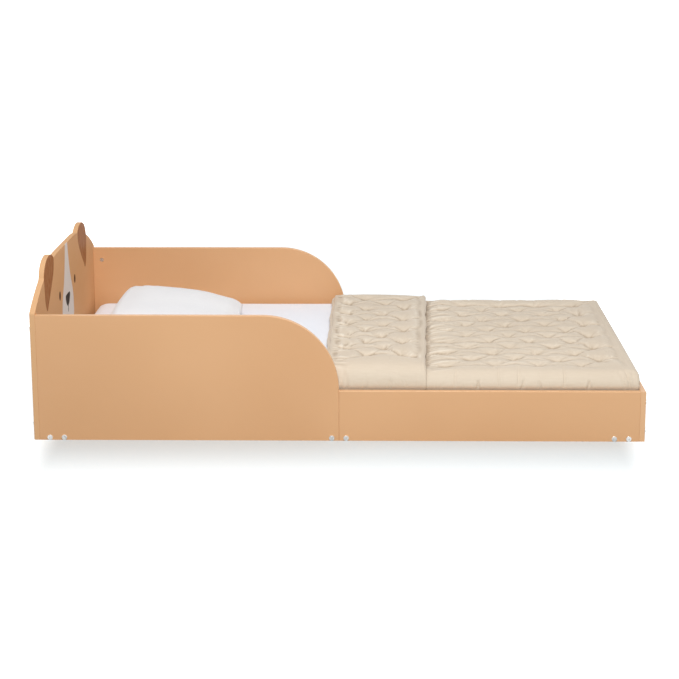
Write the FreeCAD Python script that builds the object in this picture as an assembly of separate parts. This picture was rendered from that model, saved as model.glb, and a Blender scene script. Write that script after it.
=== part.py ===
import FreeCAD, Part
import math
import os

# Toddler floor bed: flat boards that stand straight on the floor, bolted together with barrel nuts.
# +X runs from the headboard to the footboard, +Z is up, and the near side, where the pieces named
# near_ are, is at -Y. The origin is on the floor, under the middle of the bed. Sizes are millimetres.

# ---- Mattress, which the bed is built round ----
MATTRESS_LENGTH = 1311.0
MATTRESS_WIDTH = 692.0
MATTRESS_THICKNESS = 116.0
MATTRESS_CORNER_RADIUS = 45.0
MATTRESS_TOP_RADIUS = 30.0
MATTRESS_BOTTOM_RADIUS = 14.0
MATTRESS_END_GAP = 11.8  # mattress to headboard, and to footboard
MATTRESS_SIDE_GAP = 8.8  # mattress to each side

# ---- Boards ----
BOARD = 12.7  # thickness of every board
SIDE_HEIGHT = 286.0  # high panels of the head half
RAIL_HEIGHT = 115.0  # low rails of the foot half, and the footboard
SWEEP_LAND = 3.0  # upright stretch between the low rail's top and the quarter-circle corner
EDGE_ROUND = 1.5  # softened edges of the boards

# ---- Headboard outline ----
CROWN_RISE = 86.0  # flat top of the headboard above the high panels
CROWN_FLAT = 170.0  # width of that flat top
SHOULDER_RADIUS = 530.0
HEAD_CORNER_ROUND = 6.0
EAR_SPACING = 391.0  # centre to centre
EAR_WIDTH = 128.0
EAR_HEIGHT = 88.0  # full height of the ellipse that an ear is the top of
EAR_ABOVE_CROWN = 12.0
EAR_VALLEY_ROUND = 8.0  # inner rounding where an ear meets the headboard's top

# ---- Slatted base ----
CROSS_RAIL_WIDTH = 78.0
LEDGE_WIDTH = 20.0
LEDGE_END_GAP = 0.5
SLAT_COUNT = 13
SLAT_WIDTH = 70.0
SLAT_THICKNESS = 12.0
SLAT_END_GAP = 3.0

# ---- Bolts and barrel nuts ----
BOLT_RADIUS = 3.0
BOLT_LENGTH = 45.0
BOLT_HEAD_INSET = 0.35  # the head is this much smaller than half a board, so it clears the floor
BOLT_HEAD_HEIGHT = 2.2
BOLT_HEAD_ROUND = 0.7
BOLT_SOCKET_WIDTH = 4.0
BOLT_SOCKET_DEPTH = 1.8
BOLT_PITCH = 32.0  # the two bolts of a cross rail's end
BOLT_HOLE_CLEARANCE = 0.3
BOLT_HOLE_SPARE = 2.0  # how far a hole runs past the bolt's tip
HEAD_BOLT_LOW = 37.0  # height of the headboard's lower bolts
HEAD_BOLT_BELOW_TOP = 33.0  # upper bolts, down from the high panel's top
FOOT_BOLT_LOW = 26.0
FOOT_BOLT_BELOW_TOP = 25.0
NUT_RADIUS = 5.0
NUT_SETBACK = 21.6  # nut axis from the end of the board that holds it
NUT_RECESS = 0.3  # nut's face below the board's face
NUT_SKIN = 1.4  # wood left behind a nut's blind hole
NUT_CLEARANCE = 0.1
NUT_THREAD_CLEARANCE = 0.05
NUT_SLOT_WIDTH = 1.2
NUT_SLOT_DEPTH = 1.0

# ---- Dowels, joint plates and screws ----
DOWEL_RADIUS = 3.0
DOWEL_LENGTH = 30.0
DOWEL_IN_END_BOARD = 8.0  # how deep a dowel sits in the headboard or footboard
DOWEL_CHAMFER = 0.8
DOWEL_SPARE = 1.0
HEAD_DOWEL_COUNT = 2
FOOT_DOWEL_COUNT = 1
MIDDLE_DOWEL_BELOW_TOP = (20.0, 52.0)  # down from the low rail's top
PLATE_LENGTH = 80.0
PLATE_HEIGHT = 30.0
PLATE_THICKNESS = 2.0
PLATE_ABOVE_SLATS = 3.3
PLATE_SCREW_PITCH = (24.0, 62.0)  # spans of the inner and the outer pair of screws
SCREW_RADIUS = 1.75
SCREW_HEAD_RADIUS = 3.5
SCREW_HEAD_HEIGHT = 2.0
SCREW_DRIVE_WIDTH = 2.0
SCREW_DRIVE_DEPTH = 1.2
SCREW_TIP = 3.0
SCREW_CLEARANCE = 0.05
PLATE_SCREW_LENGTH = 12.0
LEDGE_SCREW_LENGTH = 28.0
SLAT_SCREW_LENGTH = 20.0
LEDGE_SCREW_COUNT = 3

# ---- Sheet, quilt and pillow ----
REST_CLEARANCE = 0.3  # between a soft piece and what it lies on
SHEET_THICKNESS = 0.8
SHEET_HEM = 60.0  # how far the sheet turns under the mattress
QUILT_THICKNESS = 10.4
QUILT_SIDE_CLEARANCE = 0.5  # tucked quilt to the boards
QUILT_TUCK_DEPTH = 83.5  # quilt's top down to its tucked edge
QUILT_ROLL_WIDTH = 40.0  # rounded side of the quilt, seen from above
QUILT_ROLL_DROP = 36.0  # how far that rounding falls
QUILT_CROWN = 1.0
QUILT_FOOT_ROLL = 24.0
QUILT_FOOT_DROP = 27.0
BAND_THICKNESS = 15.0  # the turned-back layer on top of the quilt
BAND_START = -34.0  # head end of the quilt, where it is turned back
BAND_WIDTH = 241.0
BAND_FOLD_ROUND = 15.0
PILLOW_LENGTH = 305.0
PILLOW_WIDTH = 457.0
PILLOW_THICKNESS = 97.0
PILLOW_FROM_HEADBOARD = 106.0
PILLOW_SEAM_HEIGHT = 38.0  # seam above the sheet, where it is highest
PILLOW_DRAWN_IN = 11.0  # how far each side pulls in between the corners

# ---- Places worked out from the sizes above ----
inner_x = MATTRESS_LENGTH / 2 + MATTRESS_END_GAP
inner_y = MATTRESS_WIDTH / 2 + MATTRESS_SIDE_GAP
outer_x = inner_x + BOARD
outer_y = inner_y + BOARD
board_mid_y = inner_y + BOARD / 2
crown_z = SIDE_HEIGHT + CROWN_RISE
sweep_radius = SIDE_HEIGHT - RAIL_HEIGHT - SWEEP_LAND
bolt_head_radius = BOARD / 2 - BOLT_HEAD_INSET
bolt_hole_radius = BOLT_RADIUS + BOLT_HOLE_CLEARANCE
nut_hole_depth = BOARD - NUT_SKIN
slat_top = BOARD + SLAT_THICKNESS
head_bolt_heights = (HEAD_BOLT_LOW, SIDE_HEIGHT - HEAD_BOLT_BELOW_TOP)
foot_bolt_heights = (FOOT_BOLT_LOW, RAIL_HEIGHT - FOOT_BOLT_BELOW_TOP)
cross_rail_centre = inner_x - CROSS_RAIL_WIDTH / 2
cross_rail_places = {
    "head": -cross_rail_centre,
    "middle": 0.0,
    "foot": cross_rail_centre,
}
plate_z = slat_top + PLATE_ABOVE_SLATS
plate_screw_z = plate_z + PLATE_HEIGHT / 2
mattress_z = slat_top + REST_CLEARANCE + SHEET_THICKNESS + REST_CLEARANCE
sheet_inner = REST_CLEARANCE
sheet_outer = sheet_inner + SHEET_THICKNESS
sheet_top = mattress_z + MATTRESS_THICKNESS + sheet_outer
quilt_top = sheet_top + QUILT_THICKNESS

UP = FreeCAD.Vector(0, 0, 1)
HEADWARD = FreeCAD.Vector(-1, 0, 0)
FOOTWARD = FreeCAD.Vector(1, 0, 0)
NEARWARD = FreeCAD.Vector(0, -1, 0)
ORIGIN = FreeCAD.Vector(0, 0, 0)
SMALL = 0.01  # for telling which edges lie on a face


# ---- Small helpers ----
def point(x, y, z):
    return FreeCAD.Vector(x, y, z)


def block(low, high):
    """A box between two corners, each an (x, y, z)."""
    size = [b - a for a, b in zip(low, high)]
    return Part.makeBox(*size, point(*low))


def line(start, end):
    return Part.LineSegment(start, end).toShape()


def arc(start, middle, end):
    return Part.Arc(start, middle, end).toShape()


def plate_from(edges, thickness, direction):
    """A closed outline, pushed out by a thickness along a direction."""
    face = Part.Face(Part.Wire(edges))
    return face.extrude(FreeCAD.Vector(direction) * thickness)


def placed(shape, where, direction):
    """A copy of a piece made along +Z from the origin, moved to a point and turned to a direction."""
    copy = shape.copy()
    copy.Placement = FreeCAD.Placement(where, FreeCAD.Rotation(UP, direction))
    return copy


def mirrored_sides(shape):
    return shape.mirror(ORIGIN, FreeCAD.Vector(0, 1, 0))


def both_sides(shapes):
    return shapes + [mirrored_sides(shape) for shape in shapes]


def evenly_between(low, high, count):
    """Heights that split a span into equal parts, without its ends."""
    step = (high - low) / (count + 1)
    return [low + step * (number + 1) for number in range(count)]


def rounded(solid, radius, wanted):
    """Fillets the edges whose bounding box passes the test."""
    edges = [edge for edge in solid.Edges if wanted(edge.BoundBox)]
    return solid.makeFillet(radius, edges)


def without(solid, tools):
    return solid.cut(Part.makeCompound(tools)) if tools else solid


def hexagon_prism(width, height):
    corner = width / math.sqrt(3)
    corners = [
        point(
            corner * math.cos(math.radians(turn)),
            corner * math.sin(math.radians(turn)),
            0,
        )
        for turn in range(0, 360, 60)
    ]
    outline = Part.makePolygon(corners + corners[:1])
    return Part.Face(outline).extrude(UP * height)


# ---- Fasteners, each made along +Z with its tip up and its head at the origin ----
def connector_bolt():
    head = Part.makeCylinder(
        bolt_head_radius, BOLT_HEAD_HEIGHT, point(0, 0, -BOLT_HEAD_HEIGHT)
    )
    rim = [
        edge
        for edge in head.Edges
        if edge.BoundBox.ZMax < -BOLT_HEAD_HEIGHT + SMALL
        and edge.Length > bolt_head_radius
    ]
    head = head.makeFillet(BOLT_HEAD_ROUND, rim)
    socket = hexagon_prism(BOLT_SOCKET_WIDTH, BOLT_SOCKET_DEPTH)
    socket.translate(point(0, 0, -BOLT_HEAD_HEIGHT))
    shank = Part.makeCylinder(BOLT_RADIUS, BOLT_LENGTH)
    return head.cut(socket).fuse(shank).removeSplitter()


def bolt_hole(depth):
    return Part.makeCylinder(bolt_hole_radius, depth)


def barrel_nut():
    """Its slotted face is at the origin and its body runs along +Z. The bolt crosses it along X."""
    length = nut_hole_depth - NUT_RECESS - SMALL
    body = Part.makeCylinder(NUT_RADIUS, length)
    thread = Part.makeCylinder(
        BOLT_RADIUS + NUT_THREAD_CLEARANCE,
        4 * NUT_RADIUS,
        point(-2 * NUT_RADIUS, 0, BOARD / 2 - NUT_RECESS),
        FOOTWARD,
    )
    slot = block(
        (-NUT_RADIUS, -NUT_SLOT_WIDTH / 2, 0),
        (NUT_RADIUS, NUT_SLOT_WIDTH / 2, NUT_SLOT_DEPTH),
    )
    return body.cut(thread).cut(slot)


def nut_hole():
    return Part.makeCylinder(NUT_RADIUS + NUT_CLEARANCE, nut_hole_depth)


def dowel():
    body = Part.makeCylinder(DOWEL_RADIUS, DOWEL_LENGTH)
    return body.makeChamfer(DOWEL_CHAMFER, [e for e in body.Edges if e.Closed])


def dowel_hole(depth):
    return Part.makeCylinder(DOWEL_RADIUS + SCREW_CLEARANCE, depth + DOWEL_SPARE)


def screw(length, clearance=0.0):
    """A countersunk wood screw, or with a clearance the hole that it goes in."""
    shank_radius = SCREW_RADIUS + clearance
    head = Part.makeCone(SCREW_HEAD_RADIUS + clearance, shank_radius, SCREW_HEAD_HEIGHT)
    shank = Part.makeCylinder(
        shank_radius, length - SCREW_TIP - SCREW_HEAD_HEIGHT, UP * SCREW_HEAD_HEIGHT
    )
    tip = Part.makeCone(
        shank_radius, shank_radius / 4, SCREW_TIP + clearance, UP * (length - SCREW_TIP)
    )
    body = head.fuse([shank, tip]).removeSplitter()
    if clearance:
        return body
    half = SCREW_DRIVE_WIDTH / 2
    return body.cut(block((-half, -half, 0), (half, half, SCREW_DRIVE_DEPTH)))


# ---- Where each fastener of the near side goes ----
def end_bolt_starts():
    """Each headboard and footboard bolt: its head's seat, its direction and its nut's place."""
    seats = []
    for height in head_bolt_heights:
        seats.append(
            (point(-outer_x, -board_mid_y, height), FOOTWARD, -inner_x + NUT_SETBACK)
        )
    for height in foot_bolt_heights:
        seats.append(
            (point(outer_x, -board_mid_y, height), HEADWARD, inner_x - NUT_SETBACK)
        )
    return seats


def cross_bolt_xs(name):
    centre = cross_rail_places[name]
    return [centre - BOLT_PITCH / 2, centre + BOLT_PITCH / 2]


def end_dowel_starts():
    """Each dowel of the near side's two ends, from inside the end board: start and direction."""
    starts = []
    for height in evenly_between(*head_bolt_heights, HEAD_DOWEL_COUNT):
        start = point(-inner_x - DOWEL_IN_END_BOARD, -board_mid_y, height)
        starts.append((start, FOOTWARD))
    for height in evenly_between(*foot_bolt_heights, FOOT_DOWEL_COUNT):
        start = point(inner_x + DOWEL_IN_END_BOARD, -board_mid_y, height)
        starts.append((start, HEADWARD))
    return starts


def middle_dowel_starts():
    heights = [RAIL_HEIGHT - below for below in MIDDLE_DOWEL_BELOW_TOP]
    return [
        (point(-DOWEL_LENGTH / 2, -board_mid_y, height), FOOTWARD) for height in heights
    ]


def plate_screw_xs():
    inner, outer = PLATE_SCREW_PITCH
    return [-outer / 2, -inner / 2, inner / 2, outer / 2]


def ledge_span(half):
    """The two ends of a ledge along X, between the cross rails of its half of the bed."""
    ends = (
        CROSS_RAIL_WIDTH / 2 + LEDGE_END_GAP,
        inner_x - CROSS_RAIL_WIDTH - LEDGE_END_GAP,
    )
    return (-ends[1], -ends[0]) if half == "head" else ends


def slat_centres():
    step = 2 * cross_rail_centre / (SLAT_COUNT - 1)
    return [-cross_rail_centre + step * number for number in range(SLAT_COUNT)]


def ledge_screw_xs(half):
    """Screw places between the slats of one half: near both ends of the ledge and in its middle."""
    low, high = ledge_span(half)
    centres = slat_centres()
    margin = 2 * SCREW_HEAD_RADIUS
    gaps = [(a + b) / 2 for a, b in zip(centres, centres[1:])]
    gaps = [x for x in gaps if low + margin < x < high - margin]
    step = (len(gaps) - 1) / (LEDGE_SCREW_COUNT - 1)
    return [gaps[round(step * number)] for number in range(LEDGE_SCREW_COUNT)]


def slat_screw_places():
    """Near-side end of each slat, on the ledge or cross rail that carries it."""
    y = -inner_y + LEDGE_WIDTH / 2
    return [point(x, y, slat_top) for x in slat_centres()]


# ---- Drilling of the near side ----
def side_drilling():
    """Every hole in the near side's two boards."""
    tools = []
    for seat, direction, nut_x in end_bolt_starts():
        tools.append(placed(bolt_hole(BOLT_LENGTH + BOLT_HOLE_SPARE), seat, direction))
        tools.append(placed(nut_hole(), point(nut_x, -inner_y, seat.z), NEARWARD))
    for name in cross_rail_places:
        for x in cross_bolt_xs(name):
            tools.append(
                placed(bolt_hole(BOARD), point(x, -inner_y, BOARD / 2), NEARWARD)
            )
    for start, direction in end_dowel_starts():
        tools.append(placed(dowel_hole(DOWEL_LENGTH), start, direction))
    for start, direction in middle_dowel_starts():
        start = start - direction * DOWEL_SPARE
        tools.append(placed(dowel_hole(DOWEL_LENGTH + DOWEL_SPARE), start, direction))
    for x in plate_screw_xs():
        start = point(x, -inner_y + PLATE_THICKNESS, plate_screw_z)
        tools.append(
            placed(screw(PLATE_SCREW_LENGTH, SCREW_CLEARANCE), start, NEARWARD)
        )
    for half in ("head", "foot"):
        for x in ledge_screw_xs(half):
            start = point(x, -inner_y + LEDGE_WIDTH, BOARD / 2)
            tools.append(
                placed(screw(LEDGE_SCREW_LENGTH, SCREW_CLEARANCE), start, NEARWARD)
            )
    return tools


# ---- Boards ----
def headboard():
    half = outer_y
    flat = CROWN_FLAT / 2
    turn = math.asin((half - flat) / SHOULDER_RADIUS)

    def shoulder(angle, side):
        y = flat + SHOULDER_RADIUS * math.sin(angle)
        z = crown_z - SHOULDER_RADIUS * (1 - math.cos(angle))
        return point(-outer_x, side * y, z)

    foot_near = point(-outer_x, -half, 0)
    foot_far = point(-outer_x, half, 0)
    outline = [
        line(foot_near, foot_far),
        line(foot_far, shoulder(turn, 1)),
        arc(shoulder(turn, 1), shoulder(turn / 2, 1), shoulder(0, 1)),
        line(shoulder(0, 1), shoulder(0, -1)),
        arc(shoulder(0, -1), shoulder(turn / 2, -1), shoulder(turn, -1)),
        line(shoulder(turn, -1), foot_near),
    ]
    board = plate_from(outline, BOARD, FOOTWARD)
    ears = [ear(side) for side in (-1, 1)]
    board = board.fuse(ears).removeSplitter()
    corner_z = shoulder(turn, 1).z

    def across(box):
        return box.XLength > BOARD - SMALL and box.ZLength < SMALL

    def is_corner(box):
        return across(box) and abs(box.ZMin - corner_z) < SMALL

    def is_valley(box):
        crossing = across(box) and box.ZMin > corner_z + SMALL
        return crossing and abs(abs(box.YMin) - flat) > SMALL

    def is_rim(box):
        return box.XLength < SMALL and box.ZMax > SMALL

    board = rounded(board, HEAD_CORNER_ROUND, is_corner)
    board = rounded(board, EAR_VALLEY_ROUND, is_valley)
    board = rounded(board, EDGE_ROUND, is_rim)
    return without(board, end_board_drilling(-1))


def ear(side):
    centre = point(
        -outer_x,
        side * EAR_SPACING / 2,
        crown_z + EAR_ABOVE_CROWN - EAR_HEIGHT / 2,
    )
    across = (EAR_WIDTH / 2, FreeCAD.Vector(0, 1, 0))
    upward = (EAR_HEIGHT / 2, UP)
    major, minor = sorted((across, upward), key=lambda radius: -radius[0])
    ellipse = Part.Ellipse(
        centre + major[1] * major[0], centre + minor[1] * minor[0], centre
    )
    return plate_from([ellipse.toShape()], BOARD, FOOTWARD)


def end_board_drilling(end):
    """Holes in the headboard (end -1) or the footboard (end 1), for both sides."""
    tools = []
    for seat, direction, _ in end_bolt_starts():
        if seat.x * end > 0:
            tools.append(placed(bolt_hole(BOARD), seat, direction))
    for start, direction in end_dowel_starts():
        if start.x * end > 0:
            start = start - direction * DOWEL_SPARE
            tools.append(placed(dowel_hole(DOWEL_LENGTH), start, direction))
    return both_sides(tools)


def footboard():
    board = block((inner_x, -outer_y, 0), (outer_x, outer_y, RAIL_HEIGHT))

    def is_rim(box):
        return box.XLength < SMALL and box.ZMax > SMALL

    board = rounded(board, EDGE_ROUND, is_rim)
    return without(board, end_board_drilling(1))


def near_side_panel():
    """The high board of the head half, with its quarter-circle corner."""
    y = -outer_y
    sweep_start = point(-sweep_radius, y, SIDE_HEIGHT)
    sweep_end = point(0, y, SIDE_HEIGHT - sweep_radius)
    reach = sweep_radius * math.sin(math.pi / 4)
    sweep_middle = point(
        -sweep_radius + reach, y, SIDE_HEIGHT - sweep_radius + reach
    )
    outline = [
        line(point(-inner_x, y, 0), point(0, y, 0)),
        line(point(0, y, 0), sweep_end),
        arc(sweep_end, sweep_middle, sweep_start),
        line(sweep_start, point(-inner_x, y, SIDE_HEIGHT)),
        line(point(-inner_x, y, SIDE_HEIGHT), point(-inner_x, y, 0)),
    ]
    board = plate_from(outline, BOARD, FreeCAD.Vector(0, 1, 0))

    def is_rim(box):
        on_side = box.YLength < SMALL and box.ZMax > SMALL
        return on_side and box.XMax > -inner_x + SMALL

    return without(rounded(board, EDGE_ROUND, is_rim), side_drilling())


def near_low_rail():
    board = block((0, -outer_y, 0), (inner_x, -inner_y, RAIL_HEIGHT))

    def is_rim(box):
        on_side = box.YLength < SMALL and box.ZMax > SMALL
        return on_side and box.XMin < inner_x - SMALL

    return without(rounded(board, EDGE_ROUND, is_rim), side_drilling())


# ---- Slatted base ----
def cross_rail(name):
    centre = cross_rail_places[name]
    half = CROSS_RAIL_WIDTH / 2
    board = block((centre - half, -inner_y, 0), (centre + half, inner_y, BOARD))
    tools = []
    for x in cross_bolt_xs(name):
        start = point(x, -outer_y, BOARD / 2)
        tools.append(
            placed(
                bolt_hole(BOLT_LENGTH + BOLT_HOLE_SPARE), start, NEARWARD.negative()
            )
        )
        top = point(x, -inner_y + NUT_SETBACK, BOARD)
        tools.append(placed(nut_hole(), top, UP.negative()))
    for place in slat_screw_places():
        if abs(place.x - centre) < half:
            tools.append(
                placed(
                    screw(SLAT_SCREW_LENGTH, SCREW_CLEARANCE), place, UP.negative()
                )
            )
    return without(board, both_sides(tools))


def near_ledge(half):
    low, high = ledge_span(half)
    batten = block((low, -inner_y, 0), (high, -inner_y + LEDGE_WIDTH, BOARD))
    tools = []
    for x in ledge_screw_xs(half):
        start = point(x, -inner_y + LEDGE_WIDTH, BOARD / 2)
        tools.append(
            placed(screw(LEDGE_SCREW_LENGTH, SCREW_CLEARANCE), start, NEARWARD)
        )
    for place in slat_screw_places():
        if low < place.x < high:
            tools.append(
                placed(
                    screw(SLAT_SCREW_LENGTH, SCREW_CLEARANCE), place, UP.negative()
                )
            )
    return without(batten, tools)


def slat(number):
    x = slat_centres()[number]
    half = SLAT_WIDTH / 2
    end = inner_y - SLAT_END_GAP
    board = block((x - half, -end, BOARD), (x + half, end, slat_top))

    def is_top_edge(box):
        return box.XLength < SMALL and box.ZMin > slat_top - SMALL

    board = rounded(board, EDGE_ROUND, is_top_edge)
    place = slat_screw_places()[number]
    hole = placed(screw(SLAT_SCREW_LENGTH, SCREW_CLEARANCE), place, UP.negative())
    return without(board, both_sides([hole]))


# ---- Groups of fasteners ----
def end_bolts(end):
    bolts = [
        placed(connector_bolt(), seat, direction)
        for seat, direction, _ in end_bolt_starts()
        if seat.x * end > 0
    ]
    return Part.makeCompound(both_sides(bolts))


def cross_rail_bolts():
    bolts = []
    for name in cross_rail_places:
        for x in cross_bolt_xs(name):
            seat = point(x, -outer_y, BOARD / 2)
            bolts.append(placed(connector_bolt(), seat, NEARWARD.negative()))
    return Part.makeCompound(both_sides(bolts))


def panel_barrel_nuts():
    """In the inner faces of the four side boards, each crossed along X by its bolt."""
    turned = FreeCAD.Rotation(FreeCAD.Vector(1, 0, 0), 90)
    nuts = []
    for seat, _, nut_x in end_bolt_starts():
        nut = barrel_nut()
        face = point(nut_x, -inner_y - NUT_RECESS, seat.z)
        nut.Placement = FreeCAD.Placement(face, turned)
        nuts.append(nut)
    return Part.makeCompound(both_sides(nuts))


def cross_rail_barrel_nuts():
    """In the tops of the cross rails, each crossed along Y by its bolt."""
    over = FreeCAD.Rotation(FreeCAD.Vector(1, 0, 0), 180)
    quarter = FreeCAD.Rotation(UP, 90)
    nuts = []
    for name in cross_rail_places:
        for x in cross_bolt_xs(name):
            nut = barrel_nut()
            top = point(x, -inner_y + NUT_SETBACK, BOARD - NUT_RECESS)
            nut.Placement = FreeCAD.Placement(top, quarter.multiply(over))
            nuts.append(nut)
    return Part.makeCompound(both_sides(nuts))


def locating_dowels():
    starts = end_dowel_starts() + middle_dowel_starts()
    pins = [placed(dowel(), start, direction) for start, direction in starts]
    return Part.makeCompound(both_sides(pins))


def near_joint_plate():
    """The steel plate inside the bed that ties the near high panel to its low rail."""
    half = PLATE_LENGTH / 2
    plate = block(
        (-half, -inner_y, plate_z),
        (half, -inner_y + PLATE_THICKNESS, plate_z + PLATE_HEIGHT),
    )
    tools = []
    for x in plate_screw_xs():
        start = point(x, -inner_y + PLATE_THICKNESS, plate_screw_z)
        tools.append(
            placed(screw(PLATE_SCREW_LENGTH, SCREW_CLEARANCE), start, NEARWARD)
        )
    return without(plate, tools)


def joint_plate_screws():
    screws = []
    for x in plate_screw_xs():
        start = point(x, -inner_y + PLATE_THICKNESS, plate_screw_z)
        screws.append(placed(screw(PLATE_SCREW_LENGTH), start, NEARWARD))
    return Part.makeCompound(both_sides(screws))


def ledge_screws():
    screws = []
    for half in ("head", "foot"):
        for x in ledge_screw_xs(half):
            start = point(x, -inner_y + LEDGE_WIDTH, BOARD / 2)
            screws.append(placed(screw(LEDGE_SCREW_LENGTH), start, NEARWARD))
    return Part.makeCompound(both_sides(screws))


def slat_screws():
    screws = [
        placed(screw(SLAT_SCREW_LENGTH), place, UP.negative())
        for place in slat_screw_places()
    ]
    return Part.makeCompound(both_sides(screws))


# ---- Mattress, sheet, quilt and pillow ----
def mattress_form(offset):
    """The mattress's outer form, grown outwards all round by an offset."""
    half_x = MATTRESS_LENGTH / 2 + offset
    half_y = MATTRESS_WIDTH / 2 + offset
    low = mattress_z - offset
    high = mattress_z + MATTRESS_THICKNESS + offset
    body = block((-half_x, -half_y, low), (half_x, half_y, high))
    body = rounded(
        body,
        MATTRESS_CORNER_RADIUS + offset,
        lambda box: box.XLength < SMALL and box.YLength < SMALL,
    )
    body = rounded(
        body, MATTRESS_TOP_RADIUS + offset, lambda box: box.ZMin > high - SMALL
    )
    return rounded(
        body, MATTRESS_BOTTOM_RADIUS + offset, lambda box: box.ZMax < low + SMALL
    )


def fitted_sheet():
    """A skin over the mattress, open underneath inside its hem."""
    skin = mattress_form(sheet_outer).cut(mattress_form(sheet_inner))
    half_x = MATTRESS_LENGTH / 2 - SHEET_HEM
    half_y = MATTRESS_WIDTH / 2 - SHEET_HEM
    opening = block(
        (-half_x, -half_y, slat_top),
        (half_x, half_y, mattress_z + MATTRESS_THICKNESS / 2),
    )
    return skin.cut(opening)


def quilt_section(x, top):
    """The quilt's outline across the bed: tucked sides, rounded shoulders and a low crown."""
    side = inner_y - QUILT_SIDE_CLEARANCE
    low = quilt_top - QUILT_TUCK_DEPTH
    shoulder = quilt_top - QUILT_ROLL_DROP
    flat = side - QUILT_ROLL_WIDTH
    # the rounded side leaves the upright tuck without a corner
    drop = top - shoulder
    radius = (QUILT_ROLL_WIDTH**2 + drop**2) / (2 * QUILT_ROLL_WIDTH)
    turn = math.atan2(drop, flat - side + radius) / 2
    roll_y = side - radius * (1 - math.cos(turn))
    roll_z = shoulder + radius * math.sin(turn)

    def at(y, z):
        return point(x, y, z)

    return Part.Wire(
        [
            line(at(-side, low), at(side, low)),
            line(at(side, low), at(side, shoulder)),
            arc(at(side, shoulder), at(roll_y, roll_z), at(flat, top)),
            arc(at(flat, top), at(0, top + QUILT_CROWN), at(-flat, top)),
            arc(at(-flat, top), at(-roll_y, roll_z), at(-side, shoulder)),
            line(at(-side, shoulder), at(-side, low)),
        ]
    )


def fold_steps(length, drop):
    """A rounded fold in a few steps: how far along it, and how far down from its top."""
    turns = [math.radians(turn) for turn in (0, 30, 55, 75)]
    return [
        (length * math.sin(turn), drop * (1 - math.cos(turn))) for turn in turns
    ]


def quilt():
    """One layer over the foot half, and the turned-back band that lies on top of it."""
    band_top = quilt_top + BAND_THICKNESS
    band_end = BAND_START + BAND_WIDTH
    foot = inner_x - QUILT_SIDE_CLEARANCE
    layers = QUILT_THICKNESS + BAND_THICKNESS
    stations = []
    for along, down in reversed(fold_steps(BAND_FOLD_ROUND, layers)):
        stations.append((BAND_START + BAND_FOLD_ROUND - along, band_top - down))
    for along, down in fold_steps(BAND_FOLD_ROUND, BAND_THICKNESS):
        stations.append((band_end - BAND_FOLD_ROUND + along, band_top - down))
    stations.append((band_end, quilt_top))
    for along, down in fold_steps(QUILT_FOOT_ROLL, QUILT_FOOT_DROP):
        stations.append((foot - QUILT_FOOT_ROLL + along, quilt_top - down))
    sections = [quilt_section(x, top) for x, top in stations]
    body = Part.makeLoft(sections, True, True)
    return body.cut(mattress_form(sheet_outer + REST_CLEARANCE))


def pillow_section(x, half_width, base, seam, top):
    """The pillow's outline across the bed: flat where it rests, swelling from its side seams."""
    rest = half_width * 0.8 - (base - sheet_top)
    under_y = half_width * 0.95
    under_z = base + (seam - base) * 0.4
    shoulder_y = half_width * 0.8
    shoulder_z = seam + (top - seam) * 0.74
    side_y = half_width * 0.94
    side_z = seam + (top - seam) * 0.41

    def at(y, z):
        return point(x, y, z)

    return Part.Wire(
        [
            line(at(-rest, base), at(rest, base)),
            arc(at(rest, base), at(under_y, under_z), at(half_width, seam)),
            arc(at(half_width, seam), at(side_y, side_z), at(shoulder_y, shoulder_z)),
            arc(at(shoulder_y, shoulder_z), at(0, top), at(-shoulder_y, shoulder_z)),
            arc(
                at(-shoulder_y, shoulder_z), at(-side_y, side_z), at(-half_width, seam)
            ),
            arc(at(-half_width, seam), at(-under_y, under_z), at(-rest, base)),
        ]
    )


def pillow():
    """Thick towards the headboard and thinning towards the foot, with sides drawn in."""
    base = sheet_top + REST_CLEARANCE
    above = PILLOW_THICKNESS - PILLOW_SEAM_HEIGHT
    head_end = -inner_x + PILLOW_FROM_HEADBOARD
    # shares of the length, of the seam's height, of the swell above the seam and of the one below
    swell = [
        (0.0, 0.80, 0.10, 0.06),
        (0.04, 0.86, 0.44, 0.42),
        (0.12, 0.92, 0.78, 0.86),
        (0.26, 1.0, 0.98, 1.0),
        (0.42, 1.0, 1.0, 1.0),
        (0.64, 0.90, 0.84, 1.0),
        (0.83, 0.64, 0.62, 0.86),
        (0.96, 0.40, 0.32, 0.42),
        (1.0, 0.34, 0.10, 0.06),
    ]
    sections = []
    for along, raised, upper, lower in swell:
        seam = base + PILLOW_SEAM_HEIGHT * raised
        drawn_in = PILLOW_DRAWN_IN * math.sin(math.pi * along)
        sections.append(
            pillow_section(
                head_end + PILLOW_LENGTH * along,
                PILLOW_WIDTH / 2 - drawn_in,
                seam + (base - seam) * lower,
                seam,
                seam + above * upper,
            )
        )
    swollen = Part.makeLoft(sections, True, False)
    margin = PILLOW_LENGTH
    above_sheet = block(
        (head_end - margin, -PILLOW_WIDTH, base),
        (head_end + PILLOW_LENGTH + margin, PILLOW_WIDTH, base + 2 * PILLOW_THICKNESS),
    )
    return swollen.common(above_sheet)


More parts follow.
